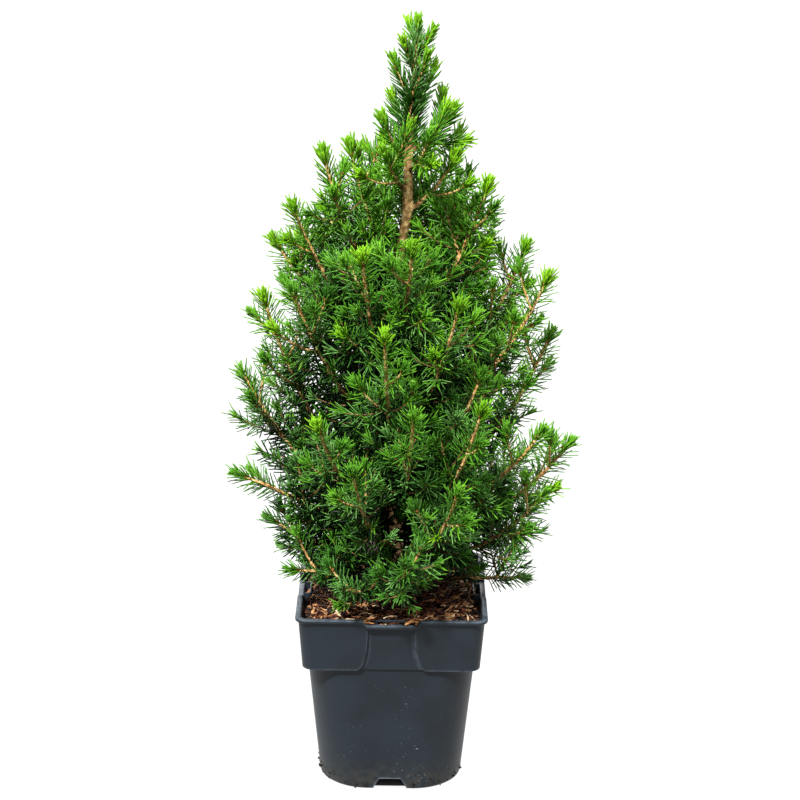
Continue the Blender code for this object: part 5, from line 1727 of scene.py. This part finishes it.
# Under the pot lies a patch of floor that no lamp reaches, so that the drain notches stay dark.
# It is a rounded square just above the floor and inside the pot's foot.
SHADED_PATCH = {"height": 0.0002, "half": 0.0445, "corner": 0.0320, "panel": 0.004, "step": 0.001}
floor_material, floor_tree, floor_shader, floor_place = new_finish(
    "pale_studio_floor", {"Roughness": 0.9, "Specular IOR Level": 0.2}
)
floor_tree.links.new(
    patches(floor_tree, floor_place, 1.5, ("#f7f7f6", "#fbfbfa")), floor_shader.inputs["Base Color"]
)
floor_mesh = bpy.data.meshes.new("floor")
floor_mesh.from_pydata(
    [(x * FLOOR_HALF, y * FLOOR_HALF, 0) for x, y in ((-1, -1), (1, -1), (1, 1), (-1, 1))],
    [], [(0, 1, 2, 3)],
)
floor_mesh.materials.append(floor_material)
floor = bpy.data.objects.new("floor", floor_mesh)
bpy.context.scene.collection.objects.link(floor)
floor.visible_diffuse = False  # it throws no light back up at the plant
shade_points = outlines(level(**SHADED_PATCH)[None])[0, :, :3]
shade_mesh = bpy.data.meshes.new("shaded_floor")
shade_mesh.from_pydata(shade_points.tolist(), [], [tuple(range(len(shade_points)))])
shade_mesh.materials.append(floor_material)
shaded_floor = bpy.data.objects.new("shaded_floor", shade_mesh)
bpy.context.scene.collection.objects.link(shaded_floor)
print(f"floor {2 * FLOOR_HALF:.0f} m wide")

# %% Lights
SKY_LIGHT = 0.125
# name: azimuth and height in degrees of where the light comes from, its angle, its strength
LIGHTS = {
    "key": (-122, 52, 6, 8.2),
    "fill": (-40, 28, 40, 0.6),
    "top": (-45, 64, 30, 2.4),
    "back": (105, 34, 40, 2.4),
    "trunk_light": (-90, 21, 3, 1.3),
    "floor_light": (-90, 88, 10, 3.0),
    "floor_shadow": (-90, 80, 60, 0.7),
}


def add_light(name, azimuth, height, angle, strength):
    """A soft light from far away, which gives the same light everywhere."""
    data = bpy.data.lights.new(name, "SUN")
    data.energy = strength
    data.angle = math.radians(angle)
    light = bpy.data.objects.new(name, data)
    bpy.context.scene.collection.objects.link(light)
    turn = math.radians(azimuth) + math.pi / 2
    light.rotation_euler = (math.pi / 2 - math.radians(height), 0, turn)
    return light


def only(name, objects, state):
    """A collection for light linking, whose objects a light includes or excludes."""
    collection = bpy.data.collections.new(name)
    for thing in objects:
        collection.objects.link(thing)
    for member in collection.collection_objects:
        member.light_linking.link_state = state
    return collection


# Light linking says which objects a light reaches and which ones block it. Only the floor
# blocks "floor_light", so it gives no shadow; "floor_shadow" gives the weak, wide one.
lights = {name: add_light(name, *settings) for name, settings in LIGHTS.items()}
plant_only = only("all_but_the_floor", [floor, shaded_floor], "EXCLUDE")
floor_only = only("the_floor", [floor], "INCLUDE")
for light_name, light in lights.items():
    on_floor = light_name.startswith("floor")
    light.light_linking.receiver_collection = floor_only if on_floor else plant_only
lights["floor_light"].light_linking.blocker_collection = floor_only
trunk_only = only("the_trunk", [bpy.data.objects["trunk_bark"]], "INCLUDE")
lights["trunk_light"].light_linking.receiver_collection = trunk_only
world = bpy.context.scene.world or bpy.data.worlds.new("studio")
bpy.context.scene.world = world
world.use_nodes = True
world.node_tree.nodes["Background"].inputs["Color"].default_value = (1, 1, 1, 1)
world.node_tree.nodes["Background"].inputs["Strength"].default_value = SKY_LIGHT
bpy.context.scene.view_settings.view_transform = "Standard"
print(f"{len(LIGHTS)} lights")

# %% Camera
CAMERA_PLACE = (0.0040, -1.5, 0.745)
LOOKS_DOWN = math.radians(17.65)
ROLL = math.radians(0.65)
SENSOR = 36.0
LENS = 104.31  # the focal length in millimetres that frames the plant
camera_data = bpy.data.cameras.new("camera")
camera_data.sensor_width = SENSOR
camera_data.lens = LENS
camera = bpy.data.objects.new("camera", camera_data)
bpy.context.scene.collection.objects.link(camera)
camera.location = CAMERA_PLACE
camera.rotation_mode = "QUATERNION"
level_view = Euler((math.pi / 2 - LOOKS_DOWN, 0, 0)).to_quaternion()
camera.rotation_quaternion = level_view @ Quaternion((0, 0, 1), ROLL)
bpy.context.scene.camera = camera
print(f"camera with a {LENS:.0f} mm lens")
